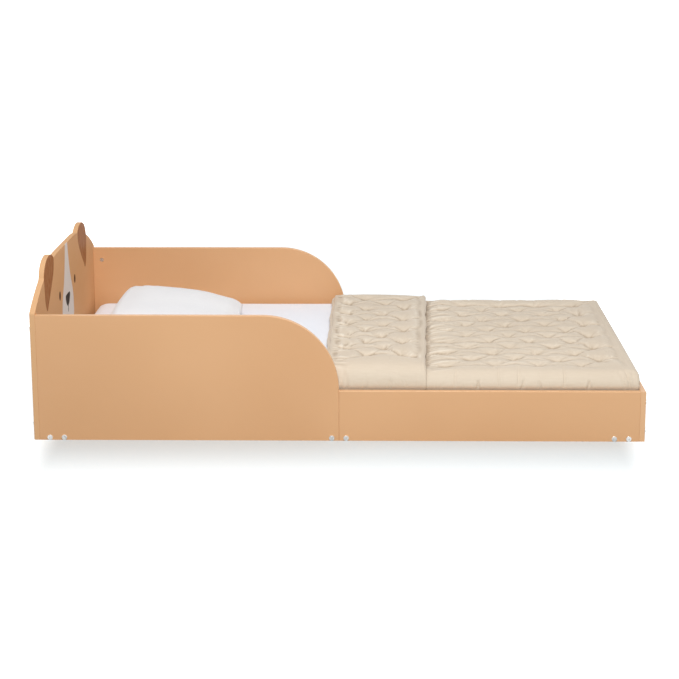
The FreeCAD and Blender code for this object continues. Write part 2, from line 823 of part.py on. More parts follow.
# ---- All the pieces ----
def make_pieces():
    """Every piece by name. A far piece is the mirror of its near one."""
    side_panel = near_side_panel()
    low_rail = near_low_rail()
    head_ledge = near_ledge("head")
    foot_ledge = near_ledge("foot")
    joint_plate = near_joint_plate()
    pieces = {
        "headboard": headboard(),
        "footboard": footboard(),
        "near_side_panel": side_panel,
        "far_side_panel": mirrored_sides(side_panel),
        "near_low_rail": low_rail,
        "far_low_rail": mirrored_sides(low_rail),
        "near_head_ledge": head_ledge,
        "far_head_ledge": mirrored_sides(head_ledge),
        "near_foot_ledge": foot_ledge,
        "far_foot_ledge": mirrored_sides(foot_ledge),
        "near_joint_plate": joint_plate,
        "far_joint_plate": mirrored_sides(joint_plate),
        "headboard_bolts": end_bolts(-1),
        "footboard_bolts": end_bolts(1),
        "cross_rail_bolts": cross_rail_bolts(),
        "panel_barrel_nuts": panel_barrel_nuts(),
        "cross_rail_barrel_nuts": cross_rail_barrel_nuts(),
        "locating_dowels": locating_dowels(),
        "joint_plate_screws": joint_plate_screws(),
        "ledge_screws": ledge_screws(),
        "slat_screws": slat_screws(),
        "mattress_core": mattress_form(0.0),
        "fitted_sheet": fitted_sheet(),
        "quilt": quilt(),
        "pillow": pillow(),
    }
    for name in cross_rail_places:
        pieces[name + "_cross_rail"] = cross_rail(name)
    for number in range(SLAT_COUNT):
        pieces["slat_%02d" % (number + 1)] = slat(number)
    return pieces


os.makedirs("parts", exist_ok=True)
for name, shape in sorted(make_pieces().items()):
    box = shape.BoundBox
    spans = (box.XMin, box.XMax, box.YMin, box.YMax, box.ZMin, box.ZMax)
    facts = (name, len(shape.Solids), shape.isValid(), shape.Volume)
    print("%-24s solids %2d valid %s volume %11.1f" % facts, "%8.2f" * 6 % spans)
    shape.exportStep(os.path.join("parts", name + ".step"))
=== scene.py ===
"""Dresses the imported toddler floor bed: board and metal finishes, bedding, studio and camera.

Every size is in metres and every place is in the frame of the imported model: +X runs to the footboard,
-Y is the near side and +Z is up.
"""

import logging
import math
from collections.abc import Callable, Iterable, Sequence
from dataclasses import dataclass, field
from enum import Enum

import bmesh
import bpy
import numpy as np
from mathutils import Euler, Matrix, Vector


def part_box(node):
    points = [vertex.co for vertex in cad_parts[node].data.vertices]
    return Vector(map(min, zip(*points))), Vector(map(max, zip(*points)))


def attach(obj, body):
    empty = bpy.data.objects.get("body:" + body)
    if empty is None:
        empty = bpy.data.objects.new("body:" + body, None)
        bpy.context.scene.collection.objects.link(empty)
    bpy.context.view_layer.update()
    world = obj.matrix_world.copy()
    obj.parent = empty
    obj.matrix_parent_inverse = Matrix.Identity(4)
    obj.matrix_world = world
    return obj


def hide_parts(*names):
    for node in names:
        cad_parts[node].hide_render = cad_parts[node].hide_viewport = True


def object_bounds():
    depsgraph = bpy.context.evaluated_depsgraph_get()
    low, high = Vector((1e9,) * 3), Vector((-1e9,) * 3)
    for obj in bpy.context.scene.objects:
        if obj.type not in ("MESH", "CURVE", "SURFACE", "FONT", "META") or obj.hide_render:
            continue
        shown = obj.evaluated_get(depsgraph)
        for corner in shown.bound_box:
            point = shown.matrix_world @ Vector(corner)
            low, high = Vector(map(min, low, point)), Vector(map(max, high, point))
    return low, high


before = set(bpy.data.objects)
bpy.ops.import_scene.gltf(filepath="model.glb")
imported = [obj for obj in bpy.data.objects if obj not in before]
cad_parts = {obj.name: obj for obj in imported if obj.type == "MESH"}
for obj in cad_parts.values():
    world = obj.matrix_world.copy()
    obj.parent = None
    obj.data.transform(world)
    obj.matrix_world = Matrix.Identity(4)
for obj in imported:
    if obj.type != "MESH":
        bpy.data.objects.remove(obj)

LOG = logging.getLogger("floor_bed")
Colour = tuple[float, float, float, float]
Point = tuple[float, float, float]
CAD_BOX = [list(corner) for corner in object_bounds()]

# most of a noise texture's values lie between these
NOISE_LOW, NOISE_HIGH = 0.3, 0.7
# further than anything on the bed
FAR = 9.0
# points closer than this are one point
TOUCHING = 1e-5


class Slot(str, Enum):
    """The record's material slots."""

    LACQUERED_BOARD = "lacquered_board"
    BARE_PINE = "bare_pine"
    BEECH_DOWEL = "beech_dowel"
    ZINC_PLATED_STEEL = "zinc_plated_steel"
    SCREW_STEEL = "screw_steel"
    MATTRESS_TICKING = "mattress_ticking"
    WHITE_SHEET = "white_sheet"
    WHITE_PILLOW = "white_pillow"
    BEIGE_QUILT = "beige_quilt"


class Along(Enum):
    """The way that a board's grain or thickness runs, as a unit vector."""

    X = (1.0, 0.0, 0.0)
    Y = (0.0, 1.0, 0.0)
    Z = (0.0, 0.0, 1.0)


def srgb(red: int, green: int, blue: int) -> Colour:
    """A colour as a paint chart gives it, turned linear.

    Args:
        red: 0 to 255.
        green: 0 to 255.
        blue: 0 to 255.

    Returns:
        The linear colour with an alpha of 1.
    """
    shares = [value / 255 for value in (red, green, blue)]
    linear = [s / 12.92 if s <= 0.04045 else ((s + 0.055) / 1.055) ** 2.4 for s in shares]
    return (linear[0], linear[1], linear[2], 1.0)


def smooth_step(low: float, high: float, values: np.ndarray | float) -> np.ndarray | float:
    """0 below low, 1 above high and a smooth rise between.

    Args:
        low: Where the rise starts.
        high: Where it ends, which may be under low for a fall.
        values: What to read it at.

    Returns:
        The share at each value.
    """
    t = np.clip((values - low) / (high - low), 0.0, 1.0)
    return t * t * (3 - 2 * t)


# ---------------------------------------------------------------- node graphs


class Graph:
    """A shader node tree that is being wired."""

    def __init__(self, tree: bpy.types.NodeTree) -> None:
        """Takes hold of a tree.

        Args:
            tree: The tree to wire.
        """
        self.tree = tree

    def add(self, kind: str, **settings: object) -> bpy.types.Node:
        """Adds a node.

        Args:
            kind: The node's type without its ShaderNode prefix.
            settings: Its properties.

        Returns:
            The new node.
        """
        node = self.tree.nodes.new("ShaderNode" + kind)
        for name, value in settings.items():
            setattr(node, name, value)
        return node

    def put(self, socket: bpy.types.NodeSocket, value: object) -> None:
        """Links an output to an input, or writes a plain value into it.

        Args:
            socket: The input.
            value: An output socket, a number or a vector.
        """
        if isinstance(value, bpy.types.NodeSocket):
            self.tree.links.new(value, socket)
        else:
            socket.default_value = value

    def math(self, operation: str, *values: object, clamp: bool = False) -> bpy.types.NodeSocket:
        """A Math node.

        Args:
            operation: Its operation.
            values: Its inputs, sockets or numbers.
            clamp: Whether the result is held between 0 and 1.

        Returns:
            Its output.
        """
        node = self.add("Math", operation=operation, use_clamp=clamp)
        for socket, value in zip(node.inputs, values):
            self.put(socket, value)
        return node.outputs[0]

    def vector(self, operation: str, *values: object) -> bpy.types.NodeSocket:
        """A Vector Math node.

        Args:
            operation: Its operation.
            values: Its inputs, sockets or vectors.

        Returns:
            Its number for a dot product or a length, otherwise its vector.
        """
        node = self.add("VectorMath", operation=operation)
        for socket, value in zip(node.inputs, values):
            self.put(socket, value)
        return node.outputs["Value" if operation in ("DOT_PRODUCT", "LENGTH") else "Vector"]

    def stretch(self, vector: object, scale: Point, turn: Point = (0.0, 0.0, 0.0)) -> bpy.types.NodeSocket:
        """A Mapping node that scales, and may turn, a coordinate.

        Args:
            vector: The coordinate.
            scale: Its scale on each axis.
            turn: Its turn on each axis, in radians.

        Returns:
            The mapped coordinate.
        """
        node = self.add("Mapping")
        self.put(node.inputs["Vector"], vector)
        node.inputs["Scale"].default_value = scale
        node.inputs["Rotation"].default_value = turn
        return node.outputs[0]

    def noise(
        self, vector: object, scale: float, detail: float = 3.0, roughness: float = 0.5
    ) -> bpy.types.NodeSocket:
        """A Noise Texture's value.

        Args:
            vector: The coordinate.
            scale: Waves per metre, roughly.
            detail: How many finer layers.
            roughness: How strong they are.

        Returns:
            The value, from about 0.25 to 0.75.
        """
        node = self.add("TexNoise", noise_dimensions="3D")
        self.put(node.inputs["Vector"], vector)
        self.put(node.inputs["Scale"], scale)
        node.inputs["Detail"].default_value = detail
        node.inputs["Roughness"].default_value = roughness
        return node.outputs["Fac"]

    def ramp(
        self, value: object, low: object, high: object, start: object = 0.0, end: object = 1.0
    ) -> bpy.types.NodeSocket:
        """A clamped Map Range node.

        Args:
            value: What is mapped.
            low: Value that gives start.
            high: Value that gives end.
            start: Result at low.
            end: Result at high.

        Returns:
            The mapped value.
        """
        node = self.add("MapRange", interpolation_type="SMOOTHSTEP")
        for socket, item in zip(node.inputs, (value, low, high, start, end)):
            self.put(socket, item)
        return node.outputs[0]

    def mix(self, share: object, first: object, second: object) -> bpy.types.NodeSocket:
        """Mixes two colours.

        Args:
            share: 0 for the first, 1 for the second.
            first: A colour or its socket.
            second: A colour or its socket.

        Returns:
            The mixed colour.
        """
        node = self.add("Mix", data_type="RGBA")
        self.put(node.inputs[0], share)
        self.put(node.inputs[6], first)
        self.put(node.inputs[7], second)
        return node.outputs[2]

    def curve(self, value: object, points: Sequence[tuple[float, float]]) -> bpy.types.NodeSocket:
        """A Float Curve from 0 to 1, through points.

        Args:
            value: Where it is read.
            points: The curve's points, first to last.

        Returns:
            The curve's value.
        """
        node = self.add("FloatCurve")
        self.put(node.inputs["Value"], value)
        line = node.mapping.curves[0]
        line.points[0].location = points[0]
        line.points[1].location = points[-1]
        for place in points[1:-1]:
            line.points.new(*place)
        node.mapping.update()
        return node.outputs[0]

    def bump(self, height: object, strength: float, distance: float) -> bpy.types.NodeSocket:
        """A Bump node.

        Args:
            height: The height to shade.
            strength: Its strength.
            distance: The depth that a height of 1 stands for.

        Returns:
            The bumped normal.
        """
        node = self.add("Bump")
        node.inputs["Strength"].default_value = strength
        node.inputs["Distance"].default_value = distance
        self.put(node.inputs["Height"], height)
        return node.outputs[0]

    def group(self, tree: bpy.types.NodeTree, **inputs: object) -> bpy.types.Node:
        """Places a node group.

        Args:
            tree: The group.
            inputs: Its inputs by name, with _ for a space.

        Returns:
            The group node.
        """
        node = self.add("Group")
        node.node_tree = tree
        for name, value in inputs.items():
            self.put(node.inputs[name.replace("_", " ")], value)
        return node


def new_group(
    name: str, inputs: dict[str, str], outputs: Sequence[str]
) -> tuple[Graph, dict[str, bpy.types.NodeSocket], bpy.types.Node]:
    """Starts a node group.

    Args:
        name: The group's name.
        inputs: Each input's name and socket type, Float or Vector.
        outputs: The names of its outputs, which are all numbers.

    Returns:
        Its graph, its input sockets by name and its output node.
    """
    tree = bpy.data.node_groups.new(name, "ShaderNodeTree")
    for title, kind in inputs.items():
        tree.interface.new_socket(title, in_out="INPUT", socket_type="NodeSocket" + kind)
    for title in outputs:
        tree.interface.new_socket(title, in_out="OUTPUT", socket_type="NodeSocketFloat")
    graph = Graph(tree)
    start = tree.nodes.new("NodeGroupInput")
    end = tree.nodes.new("NodeGroupOutput")
    return graph, {title: start.outputs[title] for title in inputs}, end


class Effects:
    """The node groups that several finishes share."""

    def __init__(self) -> None:
        """Builds each group once."""
        self.worn_edge = self._worn_edge()
        self.mottle = self._mottle()
        self.grain = self._grain()
        self.weave = self._weave()
        self.creases = self._creases()

    def _worn_edge(self) -> bpy.types.NodeTree:
        """Two masks: Rim, a board's narrow faces, and Worn, patches on its rounded edges where handling thins
        the lacquer.

        Returns:
            The group, with inputs Position, Across and Patch Scale.
        """
        graph, given, end = new_group(
            "worn_edge", {"Position": "Vector", "Across": "Vector", "Patch Scale": "Float"}, ["Rim", "Worn"]
        )
        normal = graph.add("NewGeometry").outputs["Normal"]
        across = graph.math("ABSOLUTE", graph.vector("DOT_PRODUCT", normal, given["Across"]))
        slope = graph.math("MULTIPLY", across, graph.math("SUBTRACT", 1.0, across))
        turned = graph.math("MULTIPLY", slope, 4.0, clamp=True)
        patches = graph.noise(given["Position"], given["Patch Scale"], 4.0, 0.6)
        broken = graph.ramp(patches, 0.46, 0.66)
        graph.put(end.inputs["Rim"], graph.math("SUBTRACT", 1.0, graph.ramp(across, 0.02, 0.98)))
        graph.put(end.inputs["Worn"], graph.math("MULTIPLY", turned, broken))
        return graph.tree

    def _mottle(self) -> bpy.types.NodeTree:
        """Slow and quick unevenness of a sprayed or dyed surface.

        Returns:
            The group, with inputs Position, Broad and Fine, in waves per metre.
        """
        graph, given, end = new_group(
            "mottle", {"Position": "Vector", "Broad": "Float", "Fine": "Float"}, ["Shade", "Speck"]
        )
        broad = graph.noise(given["Position"], given["Broad"], 2.0, 0.5)
        fine = graph.noise(given["Position"], given["Fine"], 2.0, 0.6)
        graph.put(end.inputs["Shade"], graph.ramp(broad, NOISE_LOW, NOISE_HIGH))
        graph.put(end.inputs["Speck"], graph.ramp(fine, NOISE_LOW, NOISE_HIGH))
        return graph.tree

    def _grain(self) -> bpy.types.NodeTree:
        """Sawn softwood: growth lines, fine fibres and knots. Its X runs with the grain.

        Returns:
            The group, with inputs Position, Rings and Knots.
        """
        graph, given, end = new_group(
            "grain", {"Position": "Vector", "Rings": "Float", "Knots": "Float"}, ["Late", "Fibre", "Knot"]
        )
        along = graph.stretch(given["Position"], (0.7, 6.0, 6.0))
        sway = graph.noise(along, 1.6, 2.0, 0.5)
        across = graph.vector("DOT_PRODUCT", given["Position"], (0.0, 0.8, 0.6))
        cells = graph.add("TexVoronoi", feature="F1")
        graph.put(cells.inputs["Vector"], graph.stretch(given["Position"], (1.0, 1.7, 1.7)))
        graph.put(cells.inputs["Scale"], given["Knots"])
        near_knot = graph.ramp(cells.outputs["Distance"], 0.0, 0.16, 1.0, 0.0)
        swayed = graph.math("MULTIPLY", sway, 0.035)
        bent = graph.math("ADD", swayed, graph.math("MULTIPLY", near_knot, 0.012))
        phase = graph.math("MULTIPLY", graph.math("ADD", across, bent), given["Rings"])
        saw = graph.math("FRACT", phase)
        late = graph.math("POWER", saw, 3.0)
        fibre = graph.noise(graph.stretch(given["Position"], (9.0, 500.0, 500.0)), 2.0, 2.0, 0.6)
        graph.put(end.inputs["Late"], late)
        graph.put(end.inputs["Fibre"], graph.ramp(fibre, NOISE_LOW, NOISE_HIGH))
        graph.put(end.inputs["Knot"], graph.ramp(cells.outputs["Distance"], 0.02, 0.075, 1.0, 0.0))
        return graph.tree

    def _weave(self) -> bpy.types.NodeTree:
        """A plain weave: warp and weft that pass over and under each other.

        Returns:
            The group, with inputs Position, whose X and Y follow the cloth, and Pitch, the width of a thread.
        """
        graph, given, end = new_group("weave", {"Position": "Vector", "Pitch": "Float"}, ["Height", "Slub"])
        split = graph.add("SeparateXYZ")
        graph.put(split.inputs[0], given["Position"])
        turns = graph.math("DIVIDE", math.pi, given["Pitch"])
        waves = [graph.math("SINE", graph.math("MULTIPLY", split.outputs[axis], turns)) for axis in (0, 1)]
        over = graph.math("MULTIPLY", waves[0], waves[1])
        slub = graph.noise(graph.stretch(given["Position"], (30.0, 420.0, 30.0)), 1.0, 3.0, 0.6)
        graph.put(end.inputs["Height"], graph.math("MULTIPLY_ADD", over, 0.5, 0.5))
        graph.put(end.inputs["Slub"], graph.ramp(slub, 0.35, 0.7))
        return graph.tree

    def _creases(self) -> bpy.types.NodeTree:
        """Fine creases of cloth that has been folded and lain on.

        Returns:
            The group, with inputs Position and Scale.
        """
        graph, given, end = new_group("creases", {"Position": "Vector", "Scale": "Float"}, ["Height"])
        warp = graph.noise(given["Position"], graph.math("MULTIPLY", given["Scale"], 0.5), 2.0, 0.5)
        push = graph.add("VectorMath", operation="SCALE")
        push.inputs[0].default_value = (0.06, 0.05, 0.04)
        graph.put(push.inputs["Scale"], warp)
        moved = graph.vector("ADD", given["Position"], push.outputs["Vector"])
        folds = graph.noise(moved, given["Scale"], 2.0, 0.45)
        ridge = graph.math("ABSOLUTE", graph.math("SUBTRACT", folds, 0.5))
        graph.put(end.inputs["Height"], graph.ramp(ridge, 0.0, 0.08))
        return graph.tree


# ------------------------------------------------------------------- finishes


@dataclass(frozen=True)
class Finish:
    """What every finish has: a name and the shared effects."""

    name: str
    effects: Effects = field(repr=False)

    def start(self) -> tuple[Graph, bpy.types.Node, bpy.types.NodeSocket]:
        """Starts a material.

        Returns:
            Its graph, its Principled node and the object coordinate.
        """
        material = bpy.data.materials.new(self.name)
        material.use_nodes = True
        graph = Graph(material.node_tree)
        position = graph.add("TexCoord").outputs["Object"]
        return graph, material.node_tree.nodes["Principled BSDF"], position

    def made(self, graph: Graph) -> bpy.types.Material:
        """The material that a graph belongs to.

        Args:
            graph: The graph that start gave.

        Returns:
            The material.
        """
        return next(m for m in bpy.data.materials if m.node_tree == graph.tree)


@dataclass(frozen=True)
class Lacquer(Finish):
    """Satin tan lacquer on board, paler on the board's narrow faces, and a little thinner and paler in worn
    patches on the rounded edges.

    A share says how far a colour goes towards another, and a scale is in waves per metre.
    """

    across: Along = Along.Y
    colour: Colour = srgb(222, 173, 127)
    deep: Colour = srgb(215, 165, 119)
    worn: Colour = srgb(232, 191, 148)
    roughness: float = 0.36
    specular: float = 0.4
    cloud_scale: float = 2.2
    dust_scale: float = 900.0
    wear_scale: float = 26.0
    rim_share: float = 0.35
    worn_share: float = 0.45
    worn_roughness: float = 0.08
    peel_scale: float = 420.0
    peel_strength: float = 0.12
    peel_depth: float = 0.00022

    def coat(self, graph: Graph, position: bpy.types.NodeSocket) -> tuple[object, object, object]:
        """The lacquer itself.

        Args:
            graph: The material's graph.
            position: The object coordinate.

        Returns:
            Its colour, its roughness and its normal.
        """
        mottle = graph.group(
            self.effects.mottle, Position=position, Broad=self.cloud_scale, Fine=self.dust_scale
        )
        edge = graph.group(
            self.effects.worn_edge, Position=position, Across=self.across.value, Patch_Scale=self.wear_scale
        )
        body = graph.mix(mottle.outputs["Shade"], self.deep, self.colour)
        # every narrow face of the board is made paler, as well as the worn patches below
        rim = graph.mix(graph.math("MULTIPLY", edge.outputs["Rim"], self.rim_share), body, self.worn)
        colour = graph.mix(graph.math("MULTIPLY", edge.outputs["Worn"], self.worn_share), rim, self.worn)
        smears = graph.noise(graph.stretch(position, (3.0, 3.0, 9.0)), 2.4, 4.0, 0.6)
        rough = graph.ramp(smears, 0.25, 0.75, self.roughness - 0.05, self.roughness + 0.07)
        rough = graph.math("ADD", rough, graph.math("MULTIPLY", edge.outputs["Worn"], self.worn_roughness))
        peel = graph.noise(position, self.peel_scale, 2.0, 0.5)
        return colour, rough, graph.bump(peel, self.peel_strength, self.peel_depth)

    def make(self) -> bpy.types.Material:
        """Makes the material.

        Returns:
            The material.
        """
        graph, shader, position = self.start()
        colour, rough, normal = self.coat(graph, position)
        graph.put(shader.inputs["Base Color"], colour)
        graph.put(shader.inputs["Roughness"], rough)
        graph.put(shader.inputs["Normal"], normal)
        shader.inputs["Specular IOR Level"].default_value = self.specular
        return self.made(graph)


@dataclass(frozen=True)
class PaintedFace(Lacquer):
    """The headboard's lacquer, with a plain animal's face painted on its inner side.

    Every outline is a half width, or a span from the middle, at heights along the face.
    """

    low: float = 0.130
    high: float = 0.390
    reach: float = 0.30
    blaze: tuple[tuple[float, float], ...] = (
        (0.130, 0.0), (0.136, 0.028), (0.152, 0.052), (0.175, 0.065), (0.205, 0.0695), (0.232, 0.066),
        (0.256, 0.056), (0.276, 0.044), (0.300, 0.033), (0.325, 0.0245), (0.352, 0.0175), (0.390, 0.0125),
    )
    nose: tuple[tuple[float, float], ...] = (
        (0.130, 0.0), (0.200, 0.0), (0.2035, 0.0025), (0.216, 0.0035), (0.221, 0.013), (0.234, 0.024),
        (0.242, 0.0265), (0.247, 0.023), (0.2485, 0.0), (0.390, 0.0),
    )
    patch_inner: tuple[tuple[float, float], ...] = (
        (0.130, 0.30), (0.258, 0.30), (0.262, 0.231), (0.275, 0.2175), (0.290, 0.200), (0.310, 0.179),
        (0.335, 0.156), (0.350, 0.149), (0.362, 0.148), (0.390, 0.148),
    )
    patch_outer: tuple[tuple[float, float], ...] = (
        (0.130, 0.20), (0.258, 0.20), (0.262, 0.236), (0.275, 0.2475), (0.290, 0.2535), (0.310, 0.2565),
        (0.330, 0.2595), (0.350, 0.2605), (0.362, 0.261), (0.390, 0.261),
    )
    eye_apart: float = 0.092
    eye_height: float = 0.263
    eye_half_width: float = 0.0085
    eye_half_height: float = 0.011
    blaze_colour: Colour = srgb(226, 217, 210)
    patch_colour: Colour = srgb(158, 98, 56)
    eye_colour: Colour = srgb(66, 41, 30)
    nose_colour: Colour = srgb(58, 55, 54)
    softness: float = 0.0006
    stroke_share: float = 0.22
    roughness: float = 0.5
    specular: float = 0.02

    def span(
        self, graph: Graph, share: object, outline: Sequence[tuple[float, float]]
    ) -> bpy.types.NodeSocket:
        """An outline's distance from the middle, at a height.

        Args:
            graph: The material's graph.
            share: The height, from 0 at low to 1 at high.
            outline: Heights and distances.

        Returns:
            The distance.
        """
        points = [((z - self.low) / (self.high - self.low), y / self.reach) for z, y in outline]
        return graph.math("MULTIPLY", graph.curve(share, points), self.reach)

    def inside(self, graph: Graph, distance: object, limit: object) -> bpy.types.NodeSocket:
        """1 where a distance is under a limit, with a soft edge.

        Args:
            graph: The material's graph.
            distance: The distance.
            limit: The limit.

        Returns:
            The mask.
        """
        past = graph.math("SUBTRACT", limit, distance)
        return graph.ramp(past, -self.softness, self.softness)

    def make(self) -> bpy.types.Material:
        """Makes the material.

        Returns:
            The material.
        """
        graph, shader, position = self.start()
        colour, rough, normal = self.coat(graph, position)
        split = graph.add("SeparateXYZ")
        graph.put(split.inputs[0], position)
        side = graph.math("ABSOLUTE", split.outputs["Y"])
        above = graph.math("SUBTRACT", split.outputs["Z"], self.low)
        share = graph.math("DIVIDE", above, self.high - self.low)
        facing = graph.vector("DOT_PRODUCT", graph.add("NewGeometry").outputs["True Normal"], Along.X.value)
        front = graph.math("GREATER_THAN", facing, 0.6)
        blaze = self.inside(graph, side, self.span(graph, share, self.blaze))
        nose = self.inside(graph, side, self.span(graph, share, self.nose))
        inner = self.inside(graph, self.span(graph, share, self.patch_inner), side)
        outer = self.inside(graph, side, self.span(graph, share, self.patch_outer))
        patch = graph.math("MULTIPLY", inner, outer)
        eye = graph.vector(
            "LENGTH",
            graph.vector(
                "DIVIDE",
                self._from_eye(graph, side, split.outputs["Z"]),
                (1.0, self.eye_half_width, self.eye_half_height),
            ),
        )
        eyes = graph.ramp(eye, 1.04, 0.96)
        strokes = graph.noise(graph.stretch(position, (60.0, 60.0, 14.0)), 3.0, 3.0, 0.6)
        stroked = graph.ramp(strokes, NOISE_LOW, NOISE_HIGH, 0.0, self.stroke_share)
        brown = graph.mix(stroked, self.patch_colour, self.worn)
        for mask, paint in (
            (patch, brown),
            (blaze, self.blaze_colour),
            (nose, self.nose_colour),
            (eyes, self.eye_colour),
        ):
            colour = graph.mix(graph.math("MULTIPLY", mask, front), colour, paint)
        graph.put(shader.inputs["Base Color"], colour)
        graph.put(shader.inputs["Roughness"], rough)
        graph.put(shader.inputs["Normal"], normal)
        shader.inputs["Specular IOR Level"].default_value = self.specular
        return self.made(graph)

    def _from_eye(self, graph: Graph, side: object, height: object) -> bpy.types.NodeSocket:
        """The way from an eye's middle to a point of the face, with no X.

        Args:
            graph: The material's graph.
            side: Distance from the face's middle.
            height: Height above the floor.

        Returns:
            The vector.
        """
        join = graph.add("CombineXYZ")
        graph.put(join.inputs["Y"], graph.math("SUBTRACT", side, self.eye_apart))
        graph.put(join.inputs["Z"], graph.math("SUBTRACT", height, self.eye_height))
        return join.outputs[0]


@dataclass(frozen=True)
class SawnWood(Finish):
    """Bare planed softwood or turned hardwood, with growth lines, fibres and a few knots."""

    along: Along = Along.Y
    pale: Colour = srgb(226, 194, 148)
    late: Colour = srgb(199, 154, 104)
    knot: Colour = srgb(122, 78, 47)
    rings: float = 210.0
    knots: float = 4.6
    roughness: float = 0.62
    late_share: float = 0.8
    fibre_share: float = 0.22
    cloud_share: float = 0.25
    knot_share: float = 0.85
    relief_strength: float = 0.35
    relief_depth: float = 0.00015

    def make(self) -> bpy.types.Material:
        """Makes the material.

        Returns:
            The material.
        """
        graph, shader, position = self.start()
        quarter = math.pi / 2 if self.along is Along.Y else 0.0
        turned = graph.stretch(position, (1.0, 1.0, 1.0), (0.0, 0.0, -quarter))
        grain = graph.group(self.effects.grain, Position=turned, Rings=self.rings, Knots=self.knots)
        mottle = graph.group(self.effects.mottle, Position=turned, Broad=7.0, Fine=300.0)
        wood = self.pale
        for mask, share, colour in (
            (grain.outputs["Late"], self.late_share, self.late),
            (grain.outputs["Fibre"], self.fibre_share, self.late),
            (mottle.outputs["Shade"], self.cloud_share, self.late),
            (grain.outputs["Knot"], self.knot_share, self.knot),
        ):
            wood = graph.mix(graph.math("MULTIPLY", mask, share), wood, colour)
        graph.put(shader.inputs["Base Color"], wood)
        rough = graph.ramp(grain.outputs["Fibre"], 0.0, 1.0, self.roughness - 0.06, self.roughness + 0.1)
        graph.put(shader.inputs["Roughness"], rough)
        lines = graph.math("MULTIPLY", grain.outputs["Late"], self.late_share)
        relief = graph.math("ADD", grain.outputs["Fibre"], lines)
        graph.put(shader.inputs["Normal"], graph.bump(relief, self.relief_strength, self.relief_depth))
        return self.made(graph)


@dataclass(frozen=True)
class PlatedSteel(Finish):
    """Zinc-plated steel: bright, faintly uneven and finely brushed."""

    bright: Colour = srgb(240, 240, 238)
    dull: Colour = srgb(208, 210, 212)
    roughness: float = 0.27
    spangle_scale: float = 160.0
    speck_scale: float = 2400.0
    brush_strength: float = 0.15
    brush_depth: float = 0.00005

    def make(self) -> bpy.types.Material:
        """Makes the material.

        Returns:
            The material.
        """
        graph, shader, position = self.start()
        mottle = graph.group(
            self.effects.mottle, Position=position, Broad=self.spangle_scale, Fine=self.speck_scale
        )
        brushed = graph.noise(graph.stretch(position, (900.0, 900.0, 5200.0)), 1.0, 2.0, 0.6)
        graph.put(shader.inputs["Base Color"], graph.mix(mottle.outputs["Shade"], self.bright, self.dull))
        rough = graph.ramp(mottle.outputs["Speck"], 0.0, 1.0, self.roughness - 0.06, self.roughness + 0.12)
        graph.put(shader.inputs["Roughness"], rough)
        graph.put(shader.inputs["Normal"], graph.bump(brushed, self.brush_strength, self.brush_depth))
        shader.inputs["Metallic"].default_value = 1.0
        return self.made(graph)


@dataclass(frozen=True)
class Cloth(Finish):
    """Woven cotton, with its weave, slubs, fine creases and a soft sheen.

    A stripe runs lengthwise. A painted shade colour for the hollows and a painted highlight colour for the
    crests need the piece's fold attribute.
    """

    colour: Colour = srgb(236, 235, 236)
    shade: Colour = srgb(222, 222, 226)
    pitch: float = 0.0006
    creased: float = 0.2
    crease_scale: float = 14.0
    roughness: float = 0.78
    sheen: float = 0.15
    sheen_roughness: float = 0.45
    specular: float = 0.3
    cloud_share: float = 0.5
    slub_share: float = 0.3
    weave_strength: float = 0.25
    crease_depth: float = 0.0012
    stripe: Colour | None = None
    stripe_pitch: float = 0.012
    stripe_share: float = 0.8
    painted_shade: Colour | None = None
    painted_shade_share: float = 0.9
    painted_highlight: Colour | None = None
    painted_highlight_share: float = 0.8

    def make(self) -> bpy.types.Material:
        """Makes the material.

        Returns:
            The material.
        """
        graph, shader, position = self.start()
        coords = graph.add("UVMap", uv_map="cloth").outputs["UV"]
        weave = graph.group(self.effects.weave, Position=coords, Pitch=self.pitch)
        creases = graph.group(self.effects.creases, Position=coords, Scale=self.crease_scale)
        mottle = graph.group(self.effects.mottle, Position=position, Broad=5.0, Fine=700.0)
        tone = graph.math("MULTIPLY", mottle.outputs["Shade"], self.cloud_share)
        tone = graph.math("ADD", tone, graph.math("MULTIPLY", weave.outputs["Slub"], self.slub_share))
        colour = graph.mix(tone, self.colour, self.shade)
        # painted shade in the cloth's hollows and painted highlight on its crests, read from the fold
        # attribute
        if self.painted_shade is not None:
            fold = graph.add("Attribute", attribute_name="fold").outputs["Fac"]
            colour = graph.mix(graph.ramp(fold, 0.5, 0.0, 0.0, self.painted_shade_share), colour, self.painted_shade)
            colour = graph.mix(graph.ramp(fold, 0.5, 1.0, 0.0, self.painted_highlight_share), colour, self.painted_highlight)
        if self.stripe is not None:
            split = graph.add("SeparateXYZ")
            graph.put(split.inputs[0], coords)
            across = graph.math("PINGPONG", split.outputs["X"], self.stripe_pitch / 2)
            line = graph.ramp(across, self.stripe_pitch * 0.09, self.stripe_pitch * 0.07)
            colour = graph.mix(graph.math("MULTIPLY", line, self.stripe_share), colour, self.stripe)
        graph.put(shader.inputs["Base Color"], colour)
        rough = graph.ramp(weave.outputs["Slub"], 0.0, 1.0, self.roughness - 0.05, self.roughness + 0.05)
        graph.put(shader.inputs["Roughness"], rough)
        fine = graph.bump(weave.outputs["Height"], self.weave_strength, self.pitch * 0.35)
        folds = graph.add("Bump")
        folds.inputs["Strength"].default_value = self.creased
        folds.inputs["Distance"].default_value = self.crease_depth
        graph.put(folds.inputs["Height"], creases.outputs["Height"])
        graph.put(folds.inputs["Normal"], fine)
        graph.put(shader.inputs["Normal"], folds.outputs[0])
        shader.inputs["Sheen Weight"].default_value = self.sheen
        shader.inputs["Sheen Roughness"].default_value = self.sheen_roughness
        shader.inputs["Specular IOR Level"].default_value = self.specular
        return self.made(graph)


# ---------------------------------------------------------------- the bench


